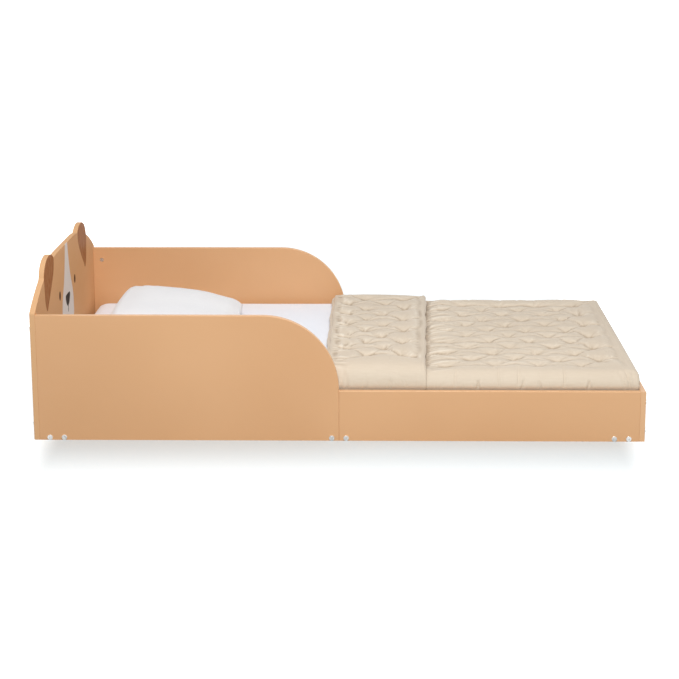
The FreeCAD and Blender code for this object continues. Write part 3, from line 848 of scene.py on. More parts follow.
class Bench:
    """Blender's own modelling operators, with nothing left selected between two jobs."""

    # an edge that rises by more than this is a block's upright corner
    TALL = 0.05
    # segments of a block's rounded corners, and of the rounding round its top and its bottom
    CORNER_STEPS = 10
    LEVEL_STEPS = 6

    def clear(self) -> None:
        """Deselects every object and leaves edit mode."""
        if bpy.context.object and bpy.context.object.mode != "OBJECT":
            bpy.ops.object.mode_set(mode="OBJECT")
        bpy.ops.object.select_all(action="DESELECT")

    def take(self, piece: bpy.types.Object) -> None:
        """Makes a piece the only selected and active one.

        Args:
            piece: The piece.
        """
        self.clear()
        piece.select_set(True)
        bpy.context.view_layer.objects.active = piece

    def block(self, name: str, low: Sequence[float], high: Sequence[float]) -> bpy.types.Object:
        """Starts a piece from a box between two corners.

        Args:
            name: The piece's name.
            low: Its lowest corner.
            high: Its highest corner.

        Returns:
            The piece, with its place in its mesh.
        """
        self.clear()
        middle = [(a + b) / 2 for a, b in zip(low, high)]
        bpy.ops.mesh.primitive_cube_add(size=1, location=middle)
        piece = bpy.context.object
        piece.name = piece.data.name = name
        piece.scale = [b - a for a, b in zip(low, high)]
        bpy.ops.object.transform_apply(location=True, rotation=True, scale=True)
        return piece

    def grid(self, name: str, across: int, along: int, width: float, length: float) -> bpy.types.Object:
        """Starts a piece from a flat grid about the origin.

        Args:
            name: The piece's name.
            across: Faces along X.
            along: Faces along Y.
            width: Its size along X.
            length: Its size along Y.

        Returns:
            The piece.
        """
        self.clear()
        bpy.ops.mesh.primitive_grid_add(x_subdivisions=across, y_subdivisions=along, size=1)
        piece = bpy.context.object
        piece.name = piece.data.name = name
        piece.scale = (width, length, 1)
        bpy.ops.object.transform_apply(location=True, rotation=True, scale=True)
        return piece

    def pick(
        self, piece: bpy.types.Object, kind: str, wanted: Callable[[bmesh.types.BMesh, object], bool]
    ) -> None:
        """Enters edit mode with only the wanted faces or edges selected.

        Args:
            piece: The piece.
            kind: FACE or EDGE.
            wanted: The test, given the mesh and a face or an edge.
        """
        self.take(piece)
        bpy.ops.object.mode_set(mode="EDIT")
        bpy.ops.mesh.select_mode(type=kind)
        bpy.ops.mesh.select_all(action="DESELECT")
        mesh = bmesh.from_edit_mesh(piece.data)
        for item in mesh.faces if kind == "FACE" else mesh.edges:
            if wanted(mesh, item):
                item.select_set(True)
        mesh.select_flush_mode()
        bmesh.update_edit_mesh(piece.data)

    def rounded_block(
        self, name: str, ends: tuple[Vector, Vector], corner: float, top_round: float, bottom_round: float
    ) -> bpy.types.Object:
        """Starts a piece from a box with all its edges rounded.

        Args:
            name: The piece's name.
            ends: Its lowest and its highest corner.
            corner: The radius of its upright edges.
            top_round: The radius round its top.
            bottom_round: The radius round its bottom.

        Returns:
            The piece.
        """
        low, high = ends
        piece = self.block(name, low, high)
        self._round_upright(piece, corner, self.CORNER_STEPS)
        self._round_level(piece, high.z, top_round, self.LEVEL_STEPS)
        self._round_level(piece, low.z, bottom_round, self.LEVEL_STEPS)
        return piece

    def _round_upright(self, piece: bpy.types.Object, radius: float, steps: int) -> None:
        """Rounds a block's four upright edges.

        Args:
            piece: The block.
            radius: The rounding's radius.
            steps: Its segments.
        """

        def upright(mesh: bmesh.types.BMesh, edge: bmesh.types.BMEdge) -> bool:
            """Whether an edge stands upright."""
            a, b = (vertex.co for vertex in edge.verts)
            return abs(a.z - b.z) > self.TALL and (a.xy - b.xy).length < TOUCHING

        self._round(piece, radius, steps, upright)

    def _round_level(self, piece: bpy.types.Object, height: float, radius: float, steps: int) -> None:
        """Rounds the edges that lie at a height.

        Args:
            piece: The block.
            height: Their height.
            radius: The rounding's radius.
            steps: Its segments.
        """
        self._round(piece, radius, steps, lambda mesh, edge: self.level(edge, height))

    def level(self, edge: bmesh.types.BMEdge, height: float) -> bool:
        """Whether an edge lies at a height."""
        return all(abs(vertex.co.z - height) < TOUCHING for vertex in edge.verts)

    def _round(self, piece: bpy.types.Object, radius: float, steps: int, wanted: Callable) -> None:
        """Rounds edges.

        Args:
            piece: The block.
            radius: The rounding's radius.
            steps: Its segments.
            wanted: Which edges, as pick takes it.
        """
        self.pick(piece, "EDGE", wanted)
        bpy.ops.mesh.bevel(offset=radius, offset_type="OFFSET", segments=steps, profile=0.5, affect="EDGES")
        bpy.ops.object.mode_set(mode="OBJECT")

    def apply(self, piece: bpy.types.Object, kind: str, **settings: object) -> None:
        """Adds a modifier and applies it.

        Args:
            piece: The piece.
            kind: The modifier's type.
            settings: Its properties.
        """
        self.take(piece)
        modifier = piece.modifiers.new(kind.lower(), kind)
        for name, value in settings.items():
            setattr(modifier, name, value)
        bpy.ops.object.modifier_apply(modifier=modifier.name)

    def weld(self, piece: bpy.types.Object, gap: float, outwards: bool = False) -> None:
        """Joins points that touch.

        Args:
            piece: The piece.
            gap: How near they are.
            outwards: Whether the faces are then turned outwards too.
        """
        self.take(piece)
        bpy.ops.object.mode_set(mode="EDIT")
        bpy.ops.mesh.select_all(action="SELECT")
        bpy.ops.mesh.remove_doubles(threshold=gap)
        if outwards:
            bpy.ops.mesh.normals_make_consistent(inside=False)
        bpy.ops.object.mode_set(mode="OBJECT")

    def soften(self, piece: bpy.types.Object, degrees: float = 180.0) -> None:
        """Shades a piece smooth, up to an angle.

        Args:
            piece: The piece.
            degrees: The angle past which an edge stays sharp.
        """
        self.take(piece)
        if degrees >= 180.0:
            bpy.ops.object.shade_smooth()
        else:
            bpy.ops.object.shade_smooth_by_angle(angle=math.radians(degrees))


BENCH = Bench()


def points_of(mesh: bpy.types.Mesh) -> np.ndarray:
    """A mesh's vertices.

    Args:
        mesh: The mesh.

    Returns:
        One row of three for each vertex.
    """
    flat = np.empty(len(mesh.vertices) * 3, np.float64)
    mesh.vertices.foreach_get("co", flat)
    return flat.reshape(-1, 3)


def move_points(mesh: bpy.types.Mesh, places: np.ndarray) -> None:
    """Puts a mesh's vertices at new places.

    Args:
        mesh: The mesh.
        places: One row of three for each vertex.
    """
    mesh.vertices.foreach_set("co", np.ascontiguousarray(places, np.float32).ravel())
    mesh.update()


def lay_uv(mesh: bpy.types.Mesh, flat: np.ndarray) -> None:
    """Gives a mesh the cloth's own coordinate, in metres.

    Args:
        mesh: The mesh.
        flat: One (u, v) for each vertex.
    """
    corners = np.empty(len(mesh.loops), np.int32)
    mesh.loops.foreach_get("vertex_index", corners)
    layer = mesh.uv_layers.get("cloth") or mesh.uv_layers.new(name="cloth")
    layer.data.foreach_set("uv", flat[corners].astype(np.float32).ravel())


def box_uv(mesh: bpy.types.Mesh) -> None:
    """Lays the cloth's coordinate on a mesh from the side that each face looks to.

    Args:
        mesh: The mesh.
    """
    places = points_of(mesh)
    layer = mesh.uv_layers.get("cloth") or mesh.uv_layers.new(name="cloth")
    pairs = {0: (1, 2), 1: (0, 2), 2: (0, 1)}
    found = np.empty((len(mesh.loops), 2), np.float32)
    for face in mesh.polygons:
        axis = max(range(3), key=lambda a: abs(face.normal[a]))
        for loop in face.loop_indices:
            found[loop] = places[mesh.loops[loop].vertex_index][list(pairs[axis])]
    layer.data.foreach_set("uv", found.ravel())


def mesh_piece(name: str, places: np.ndarray, faces: list[tuple[int, ...]]) -> bpy.types.Object:
    """A piece from places and faces, for cloth that operators can't lay.

    Args:
        name: The piece's name.
        places: One row of three for each vertex.
        faces: Each face's vertices, anticlockwise from outside.

    Returns:
        The piece, in the scene.
    """
    mesh = bpy.data.meshes.new(name)
    mesh.from_pydata(places.tolist(), [], faces)
    mesh.update()
    piece = bpy.data.objects.new(name, mesh)
    bpy.context.scene.collection.objects.link(piece)
    return piece


def finish_piece(
    piece: bpy.types.Object, material: bpy.types.Material, body: str, replaced: Sequence[str] = ()
) -> bpy.types.Object:
    """Dresses a piece and puts it on its body.

    Args:
        piece: The piece.
        material: Its finish.
        body: The body that it rides on.
        replaced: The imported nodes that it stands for.

    Returns:
        The piece.
    """
    piece.data.materials.clear()
    piece.data.materials.append(material)
    if replaced:
        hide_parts(*replaced)
    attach(piece, body)
    count = sum(len(face.vertices) - 2 for face in piece.data.polygons)
    LOG.info("%s: %d triangles, on %s", piece.name, count, body)
    return piece


@dataclass(frozen=True)
class Settling:
    """A short cloth simulation that swells a sewn panel or a cushion.

    The piece starts at its cut size. Its held points are drawn to where the stitches hold them, so the
    cloth between them has to rise.
    """

    pressure: float
    mass: float
    bending: float
    frames: int
    drawing: int = 8
    stiffness: float = 15.0

    def run(self, piece: bpy.types.Object, held: np.ndarray, drawn: np.ndarray | None = None) -> np.ndarray:
        """Runs the simulation.

        Args:
            piece: The piece at its cut size. It is removed.
            held: How firmly each vertex is held, from 0 to 1.
            drawn: Where the held vertices end, if they move.

        Returns:
            Each vertex's settled place.
        """
        group = piece.vertex_groups.new(name="held")
        for weight in np.unique(held[held > 0]):
            group.add([int(i) for i in np.flatnonzero(held == weight)], float(weight), "REPLACE")
        if drawn is not None:
            piece.shape_key_add(name="cut")
            key = piece.shape_key_add(name="drawn")
            key.data.foreach_set("co", drawn.astype(np.float32).ravel())
            for frame_number, value in ((1, 0.0), (1 + self.drawing, 1.0)):
                key.value = value
                key.keyframe_insert("value", frame=frame_number)
        modifier = piece.modifiers.new("settling", "CLOTH")
        settings = modifier.settings
        settings.quality = 4
        settings.mass = self.mass
        settings.tension_stiffness = settings.compression_stiffness = self.stiffness
        settings.shear_stiffness = self.stiffness / 3
        settings.bending_stiffness = self.bending
        settings.tension_damping = settings.compression_damping = settings.shear_damping = 1.0
        settings.bending_damping = 0.5
        settings.use_pressure = True
        settings.uniform_pressure_force = self.pressure
        settings.vertex_group_mass = "held"
        settings.pin_stiffness = 1.0
        settings.effector_weights.gravity = 0.0
        modifier.collision_settings.use_collision = False
        modifier.point_cache.frame_start = 1
        modifier.point_cache.frame_end = self.frames + 1
        scene = bpy.context.scene
        for frame_number in range(1, self.frames + 1):
            scene.frame_set(frame_number)
        shown = piece.evaluated_get(bpy.context.evaluated_depsgraph_get())
        settled = points_of(shown.data)
        bpy.data.objects.remove(piece)
        scene.frame_set(1)
        return settled


# ------------------------------------------------------------- sub-assemblies


@dataclass
class BoardWork:
    """The lacquered boards and the bare wood inside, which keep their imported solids."""

    effects: Effects

    def dress(self) -> None:
        """Gives each board, slat, rail, ledge and dowel its finish."""
        side = Lacquer("tan_lacquer_on_sides", self.effects, across=Along.Y).make()
        end = Lacquer("tan_lacquer_on_footboard", self.effects, across=Along.X).make()
        face = PaintedFace("tan_lacquer_with_face", self.effects, across=Along.X).make()
        crosswise = SawnWood("pine_across", self.effects, along=Along.Y).make()
        lengthwise = SawnWood("pine_along", self.effects, along=Along.X).make()
        beech = SawnWood(
            "turned_beech", self.effects, along=Along.X, pale=srgb(218, 178, 132), late=srgb(190, 144, 99),
            rings=900.0, knots=0.2,
        ).make()
        finishes = {"headboard": face, "footboard": end, "locating_dowels": beech}
        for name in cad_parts:
            if name.endswith(("side_panel", "low_rail")):
                finishes[name] = side
            elif name.endswith("cross_rail") or (name.startswith("slat_") and name != "slat_screws"):
                finishes[name] = crosswise
            elif name.endswith("ledge"):
                finishes[name] = lengthwise
        paint_nodes(finishes)


@dataclass
class Hardware:
    """The bolts, nuts, plates and screws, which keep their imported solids."""

    effects: Effects

    def dress(self) -> None:
        """Gives each metal piece its finish."""
        zinc = PlatedSteel("bright_zinc", self.effects).make()
        plate = PlatedSteel("plate_zinc", self.effects, roughness=0.36).make()
        screw = PlatedSteel(
            "screw_zinc", self.effects, bright=srgb(206, 190, 146), dull=srgb(168, 150, 108), roughness=0.33
        ).make()
        endings = {"bolts": zinc, "barrel_nuts": zinc, "joint_plate": plate, "screws": screw}
        paint_nodes(
            {
                name: metal
                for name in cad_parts
                for ending, metal in endings.items()
                if name.endswith(ending)
            }
        )


def paint_nodes(finishes: dict[str, bpy.types.Material]) -> None:
    """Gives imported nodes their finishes.

    Args:
        finishes: A material for each node's name.
    """
    for name, material in finishes.items():
        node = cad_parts[name]
        for place in node.material_slots:
            place.material = material
        LOG.info("%s wears %s", name, material.name)


@dataclass
class Mattress:
    """A foam mattress in striped ticking, with a sewn border round its top and its bottom."""

    effects: Effects
    corner: float = 0.030
    top_round: float = 0.028
    bottom_round: float = 0.014
    border_drop: float = 0.034
    border_rise: float = 0.022
    seam_depth: float = 0.0022
    seam_half_width: float = 0.003
    crease_angle: float = 40.0

    def build(self) -> bpy.types.Object:
        """Builds the mattress in place of its packed core.

        Returns:
            The piece.
        """
        low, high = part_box("mattress_core")
        piece = BENCH.rounded_block("mattress", (low, high), self.corner, self.top_round, self.bottom_round)
        self._seams(piece, low.z + self.border_rise, high.z - self.border_drop)
        BENCH.weld(piece, TOUCHING, outwards=True)
        BENCH.soften(piece, self.crease_angle)
        box_uv(piece.data)
        ticking = Cloth(
            "striped_ticking", self.effects, colour=srgb(232, 230, 224), shade=srgb(218, 216, 210),
            pitch=0.0008, creased=0.05, sheen=0.1, stripe=srgb(176, 186, 198),
        ).make()
        finish_piece(piece, ticking, "mattress", ["mattress_core"])
        return piece

    def _seams(self, piece: bpy.types.Object, *heights: float) -> None:
        """Presses a narrow sewn line into the sides at each height.

        Args:
            piece: The mattress.
            heights: The heights.
        """
        for height in heights:
            for step in (-self.seam_half_width, 0.0, self.seam_half_width):
                BENCH.pick(piece, "FACE", lambda mesh, face: True)
                bpy.ops.mesh.bisect(plane_co=(0, 0, height + step), plane_no=(0, 0, 1))
                bpy.ops.object.mode_set(mode="OBJECT")
            BENCH.pick(piece, "EDGE", lambda mesh, edge, z=height: BENCH.level(edge, z))
            bpy.ops.transform.shrink_fatten(value=-self.seam_depth)
            bpy.ops.object.mode_set(mode="OBJECT")


@dataclass
class FittedSheet:
    """A white fitted sheet pulled over the mattress, gathered by the elastic in its hem.

    It is cut from one rectangle with a square out of each corner, so the corners are sewn.
    """

    effects: Effects
    corner: float = 0.0305
    top_round: float = 0.0285
    bottom_round: float = 0.0145
    clearance: float = 0.0003
    voxel: float = 0.0085
    thickness: float = 0.0007
    hem: float = 0.060
    gathers: int = 120
    gather_rise: float = 0.0016
    slack_rise: float = 0.0004
    drag_rise: float = 0.0009
    # the drag lines start and are full this far below the top, the gathers this far above the bottom
    side_depths: tuple[float, float] = (0.010, 0.050)
    under_heights: tuple[float, float] = (0.012, 0.004)
    underside: float = 0.02

    def build(self) -> bpy.types.Object:
        """Builds the sheet in place of its packed skin.

        Returns:
            The piece.
        """
        low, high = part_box("fitted_sheet")
        inset = Vector((self.clearance,) * 3)
        low, high = low + inset, high - inset
        piece = BENCH.rounded_block("sheet", (low, high), self.corner, self.top_round, self.bottom_round)
        BENCH.apply(piece, "REMESH", mode="VOXEL", voxel_size=self.voxel, use_smooth_shade=True)
        move_points(piece.data, np.clip(points_of(piece.data), np.array(low), np.array(high)))
        self._open_below(piece, low, high)
        self._drag(piece, low, high)
        BENCH.apply(piece, "SOLIDIFY", thickness=self.thickness, offset=-1.0, use_rim=True)
        BENCH.soften(piece)
        box_uv(piece.data)
        cotton = Cloth(
            "white_percale", self.effects, colour=srgb(244, 247, 254), shade=srgb(236, 240, 249)
        ).make()
        finish_piece(piece, cotton, "mattress", ["fitted_sheet"])
        return piece

    def _open_below(self, piece: bpy.types.Object, low: Vector, high: Vector) -> None:
        """Opens the underside inside the hem.

        Args:
            piece: The sheet.
            low: Its lowest corner.
            high: Its highest corner.
        """
        reach_x, reach_y = high.x - self.hem, high.y - self.hem

        def under(mesh: bmesh.types.BMesh, face: bmesh.types.BMFace) -> bool:
            """Whether a face is under the mattress, inside the hem."""
            middle = face.calc_center_median()
            inside = abs(middle.x) < reach_x and abs(middle.y) < reach_y
            return middle.z < low.z + self.underside and inside

        BENCH.pick(piece, "FACE", under)
        bpy.ops.mesh.delete(type="FACE")
        bpy.ops.object.mode_set(mode="OBJECT")

    def _drag(self, piece: bpy.types.Object, low: Vector, high: Vector) -> None:
        """Lifts slack and drag lines off the mattress, and gathers the hem below it.

        Args:
            piece: The sheet.
            low: Its lowest corner.
            high: Its highest corner.
        """
        places = points_of(piece.data)
        normals = np.empty(len(places) * 3, np.float64)
        piece.data.vertices.foreach_get("normal", normals)
        x, y, z = places.T
        around = np.arctan2(y / high.y, x / high.x)
        start, full = self.side_depths
        side = smooth_step(high.z - start, high.z - full, z)
        start, full = self.under_heights
        under = smooth_step(low.z + start, low.z + full, z)
        slack = np.abs(np.sin(x * 9.1 + 2 * np.sin(y * 6.3)) * np.sin(y * 13.7 + x * 3.1))
        lines = np.abs(np.sin(x * 61 + 1.3 * np.sin(y * 23)) * np.sin(x * 17 + y * 29))
        gathered = self.gather_rise * under * np.abs(np.sin(around * self.gathers / 2))
        rise = self.slack_rise * slack + self.drag_rise * side * lines
        places += normals.reshape(-1, 3) * (rise * (1 - under))[:, None]
        places[:, 2] += gathered
        move_points(piece.data, places)


@dataclass
class Pillow:
    """A soft white pillow, thick at its head end and thin towards the foot, seamed all round."""

    effects: Effects
    length: float = 0.305
    width: float = 0.457
    seam_height: float = 0.038
    above_seam: float = 0.056
    side_fullness: float = 5.0
    most_puff: float = 0.004
    drawn_in: float = 0.011
    corner_bow: float = 0.006
    lift: float = 0.0004
    resting: float = 0.0015
    headroom: float = 0.001
    step: float = 0.0062
    # shares of the length, of the seam's height, of the swell above the seam and of the one below
    swell: tuple[tuple[float, float, float, float], ...] = (
        (0.0, 0.95, 0.0, 0.0),
        (0.006, 0.95, 0.30, 0.3),
        (0.028, 0.96, 0.73, 0.55),
        (0.057, 0.98, 0.90, 0.75),
        (0.123, 0.99, 0.88, 0.9),
        (0.20, 1.0, 0.90, 1.0),
        (0.37, 1.0, 0.84, 1.0),
        (0.52, 0.96, 0.78, 1.0),
        (0.71, 0.84, 0.67, 1.0),
        (0.853, 0.70, 0.50, 0.86),
        (0.93, 0.60, 0.42, 0.6),
        (0.985, 0.52, 0.25, 0.3),
        (1.0, 0.50, 0.0, 0.0),
    )
    settling: Settling = Settling(pressure=60.0, mass=0.15, bending=0.6, frames=16)

    def build(self) -> bpy.types.Object:
        """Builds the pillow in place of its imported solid.

        Returns:
            The piece.
        """
        low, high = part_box("pillow")
        across, along = round(self.width / self.step), round(self.length / self.step)
        places, faces, flat, seam = self._shell(low, along, across)
        piece = mesh_piece("pillow_case", places, faces)
        held = np.where(seam | (places[:, 2] < low.z + self.resting), 1.0, 0.0)
        settled = self.settling.run(piece, held)
        moved = settled - places
        reach = np.linalg.norm(moved, axis=1)
        moved *= np.minimum(1.0, self.most_puff / np.maximum(reach, 1e-9))[:, None]
        places = places + moved
        piece = mesh_piece("pillow_case", places, faces)
        places[:, 2] = np.clip(places[:, 2], low.z + self.lift, high.z + self.headroom)
        move_points(piece.data, places)
        BENCH.soften(piece)
        lay_uv(piece.data, flat)
        cotton = Cloth(
            "white_sateen", self.effects, colour=srgb(243, 243, 244), shade=srgb(233, 233, 236),
            creased=0.22, crease_scale=10.0, sheen=0.2,
        ).make()
        finish_piece(piece, cotton, "pillow", ["pillow"])
        return piece

    def _shell(self, low: Vector, along: int, across: int) -> tuple[np.ndarray, list, np.ndarray, np.ndarray]:
        """The upper and the lower cloth, sewn together round the edge.

        Args:
            low: The pillow's lowest corner.
            along: Faces along X.
            across: Faces along Y.

        Returns:
            The places, the faces, each place's cloth coordinate and which places are on the seam.
        """
        share = (1 - np.cos(np.linspace(0, math.pi, along + 1))) / 2
        share = 0.55 * share + 0.45 * np.linspace(0, 1, along + 1)
        turn = np.sin(np.linspace(-math.pi / 2, math.pi / 2, across + 1))
        side = 0.5 * turn + 0.5 * np.linspace(-1, 1, across + 1)
        table = np.array(self.swell)
        raised, upper, lower = (self._read(share, table[:, 0], table[:, n]) for n in (1, 2, 3))
        half = self.width / 2 - self.drawn_in * np.sin(math.pi * share)
        base = low.z + self.lift
        seam_z = base + self.seam_height * raised
        s, h = np.meshgrid(np.arange(along + 1), side, indexing="ij")
        bow = self.corner_bow * np.cos(h * math.pi / 2)
        from_middle = share[s] - 0.5
        x = low.x + self.length * share[s] + bow * from_middle * 2 - self.corner_bow * from_middle * 2
        y = half[s] * h
        rise = np.clip(1 - np.abs(h) ** self.side_fullness, 0, 1) ** 0.55
        top = seam_z[s] + self.above_seam * upper[s] * rise
        rest = (seam_z - base)[s] * lower[s] * np.clip(1 - np.abs(h) ** 6, 0, 1) ** 0.5
        bottom = seam_z[s] - rest
        rows, columns = along + 1, across + 1
        upper_places = np.stack([x, y, top], -1).reshape(-1, 3)
        inner = np.zeros((rows, columns), bool)
        inner[1:-1, 1:-1] = True
        number = np.arange(rows * columns).reshape(rows, columns)
        under = number.copy()
        under[inner] = rows * columns + np.arange(inner.sum())
        lower_places = np.stack([x, y, bottom], -1)[inner]
        faces = []
        for i in range(along):
            for j in range(across):
                a, b, c, d = number[i, j], number[i + 1, j], number[i + 1, j + 1], number[i, j + 1]
                faces.append((int(a), int(b), int(c), int(d)))
                a, b, c, d = under[i, j], under[i, j + 1], under[i + 1, j + 1], under[i + 1, j]
                faces.append((int(a), int(b), int(c), int(d)))
        places = np.concatenate([upper_places, lower_places])
        flat = np.concatenate([np.stack([x, y], -1).reshape(-1, 2), np.stack([x, y], -1)[inner]])
        seam = np.concatenate([~inner.ravel(), np.zeros(inner.sum(), bool)])
        return places, faces, flat, seam

    def _read(self, share: np.ndarray, at: np.ndarray, values: np.ndarray) -> np.ndarray:
        """A smooth reading of a table.

        Args:
            share: Where to read it.
            at: The table's places.
            values: The table's values.

        Returns:
            The values read.
        """
        slopes = np.gradient(values, at)
        found = np.empty_like(share)
        for n, place in enumerate(share):
            k = min(int(np.searchsorted(at, place, side="right")) - 1, len(at) - 2)
            width = at[k + 1] - at[k]
            t = (place - at[k]) / width
            found[n] = (
                (1 + 2 * t) * (1 - t) ** 2 * values[k]
                + t * (1 - t) ** 2 * width * slopes[k]
                + t * t * (3 - 2 * t) * values[k + 1]
                + t * t * (t - 1) * width * slopes[k + 1]
            )
        return np.clip(found, 0, 1.02)


@dataclass(frozen=True)
class Tufts:
    """A part of the quilt's stitch pattern: two staggered rows of stitched points.

    It runs from first to last along the bed, with its first column at start. Columns take turns between
    the two rows, and uneven is how far a point strays, as a standard deviation.
    """

    first: float
    last: float
    start: float
    pitch: float
    rows: tuple[float, float]
    row_pitch: float
    uneven: float = 0.0022

    def places(self, reach: float, random: np.random.Generator) -> list[tuple[float, float]]:
        """The stitched points, a little uneven as sewn ones are.

        Args:
            reach: How far from the middle they go, across the bed.
            random: The seeded source of their unevenness.

        Returns:
            Each point's place along the bed and across the cloth.
        """
        found = []
        column = 0
        x = self.start
        while x < self.last:
            phase = self.rows[column % 2]
            low = math.ceil((-reach - phase) / self.row_pitch)
            high = math.floor((reach - phase) / self.row_pitch)
            for row in range(low, high + 1):
                dx, dv = random.normal(0, self.uneven, 2)
                if x + dx > self.first:
                    found.append((x + dx, phase + row * self.row_pitch + dv))
            x += self.pitch / 2
            column += 1
        return found


@dataclass(frozen=True)
class Pinch:
    """A short gather where the quilt's side is tucked behind the rail.

    It runs over the cloth from start, at the rail, to end, and slant is how it leans along the bed.
    """

    x: float
    start: float
    end: float
    depth: float
    width: float
    slant: float = 0.0


@dataclass
class Quilt:
    """A beige tufted quilt, tucked in at the sides and the foot, with its top folded back on itself.

    Columns run along the bed, up the folds and down the foot. Rows run across it, from tuck to tuck. The
    folded-back top is the band, and the single layer past it is the base. The folds are drawn as steps
    along the bed and over the single layer: head_fold from the quilt's head, band_fold from the band's end
    and foot_roll from the quilt's foot.
    """

    effects: Effects
    head_fold: tuple[tuple[float, float], ...] = (
        (0.0060, -0.0092), (0.0020, -0.0078), (0.0002, -0.0050), (0.0, -0.0012), (0.0008, 0.0026),
        (0.0032, 0.0056), (0.0066, 0.0066), (0.0086, 0.0068), (0.0076, 0.0082), (0.0074, 0.0106),
        (0.0086, 0.0130), (0.0108, 0.0144),
    )
    band_fold: tuple[tuple[float, float], ...] = (
        (-0.0070, 0.0148), (-0.0036, 0.0134), (-0.0012, 0.0108), (0.0, 0.0076), (-0.0008, 0.0040),
        (-0.0034, 0.0010), (-0.0072, -0.0014), (-0.0080, -0.0042), (-0.0056, -0.0066), (-0.0024, -0.0080),
    )
    foot_roll: tuple[tuple[float, float], ...] = (
        (-0.0108, 0.0004), (-0.0062, -0.0001), (-0.0024, -0.0020), (0.0004, -0.0058), (0.0018, -0.0108),
        (0.0010, -0.0160),
    )
    band_margin: float = 0.0095
    base_gap: float = 0.0012
    foot_margin: float = 0.0160
    foot_clearance: float = 0.0002
    hang_drop: float = 0.0195
    hang_steps: int = 8
    closest: float = 0.0009
    roll_overlap: float = 0.0005
    inner_margin: float = 0.0070
    top: float = 0.1536
    crown: float = 0.001
    roll_width: float = 0.040
    roll_drop: float = 0.036
    band_lift: float = 0.015
    band_end: float = 0.207
    under: float = 0.1435
    sheet_side: float = 0.3474
    sheet_end: float = 0.6569
    sheet_round: float = 0.0314
    step: float = 0.0038
    stitched_reach: float = 0.336
    tuft_margin: float = 0.030
    tuft_radius: float = 0.0044
    ease: tuple[float, float] = (0.025, 0.06)
    sink: float = 0.0094
    loft: float = 0.0146
    puff_reach: float = 0.022
    puff_over: float = 0.001
    rim_drop: float = 0.0012
    rim_inset: float = 0.006
    rim_width: float = 0.001
    rumple: float = 0.0003
    under_band_rise: float = 0.0010
    # heights of the slow waves, the wrinkles by the sewn edge and the ridges that run out of the fold
    slow_rise: tuple[float, float] = (0.0008, 0.0006)
    wrinkle_rise: float = 0.0013
    ridge_rise: tuple[float, float] = (0.0015, 0.0007)
    # how the band's end strays from a straight line, how far it is off at the middle and how it slants
    wander: tuple[float, float] = (0.0013, 0.0007)
    band_shift: float = -0.0035
    band_slant: float = 0.031
    fold_blur: int = 6
    fold_depth: float = 0.0028
    tuck_gap: float = 0.005
    edge_width: float = 0.0135
    edge_reach: float = 0.020
    edge_flat: float = 0.002
    edge_sink: float = 0.0006
    # the tufting fades out between these places over the cloth, on the near and on the far side
    near_fade: tuple[float, float] = (0.330, 0.262)
    far_fade: tuple[float, float] = (0.338, 0.316)
    ripple_fade: tuple[float, float] = (0.36, 0.30)
    # below the first of these heights the cloth leaves the rail, by the whole tuck gap at the second
    tuck_heights: tuple[float, float] = (0.1225, 0.1125)
    # how near the band's end, and how low, the cloth gets painted shade
    shade_reach: float = 0.012
    shade_lift: float = 0.005
    weld_gap: float = 2e-5
    band_tufts: Tufts = Tufts(-0.020, 0.192, 0.008, 0.0952, (0.0135, 0.067), 0.107)
    base_tufts: Tufts = Tufts(0.215, 0.640, 0.253, 0.098, (0.018, -0.032), 0.102)
    pinches: tuple[Pinch, ...] = (
        Pinch(0.262, -0.375, -0.300, 0.0016, 0.0022, 0.05),
        Pinch(0.304, -0.378, -0.352, 0.0030, 0.0024, 0.45),
        Pinch(0.313, -0.378, -0.350, 0.0028, 0.0022, -0.35),
        Pinch(0.356, -0.375, -0.290, 0.0015, 0.0020, -0.04),
        Pinch(0.398, -0.375, -0.285, 0.0018, 0.0022, 0.05),
        Pinch(0.404, -0.378, -0.348, 0.0030, 0.0022, 0.40),
        Pinch(0.450, -0.378, -0.352, 0.0026, 0.0022, -0.32),
        Pinch(0.500, -0.375, -0.286, 0.0016, 0.0020, 0.03),
        Pinch(0.550, -0.378, -0.352, 0.0028, 0.0024, 0.35),
        Pinch(0.560, -0.378, -0.354, 0.0024, 0.0022, -0.30),
        Pinch(-0.008, -0.378, -0.330, 0.0030, 0.0034, 0.20),
        Pinch(0.004, -0.378, -0.322, 0.0036, 0.0036, 0.12),
        Pinch(0.018, -0.378, -0.335, 0.0030, 0.0034, -0.10),
        Pinch(0.060, -0.377, -0.345, 0.0018, 0.0032, 0.04),
        Pinch(0.118, -0.378, -0.348, 0.0022, 0.0034, 0.10),
        Pinch(0.638, -0.378, -0.318, 0.0030, 0.0030, -0.30),
        Pinch(0.648, -0.378, -0.322, 0.0034, 0.0030, -0.22),
        Pinch(0.657, -0.378, -0.330, 0.0030, 0.0028, -0.12),
        Pinch(0.330, 0.378, 0.300, 0.0020, 0.0040, 0.05),
        Pinch(0.450, 0.378, 0.305, 0.0022, 0.0040, -0.05),
        Pinch(0.570, 0.378, 0.300, 0.0018, 0.0040, 0.05),
    )
    settling: Settling = Settling(pressure=50.0, mass=0.15, bending=0.12, frames=26)

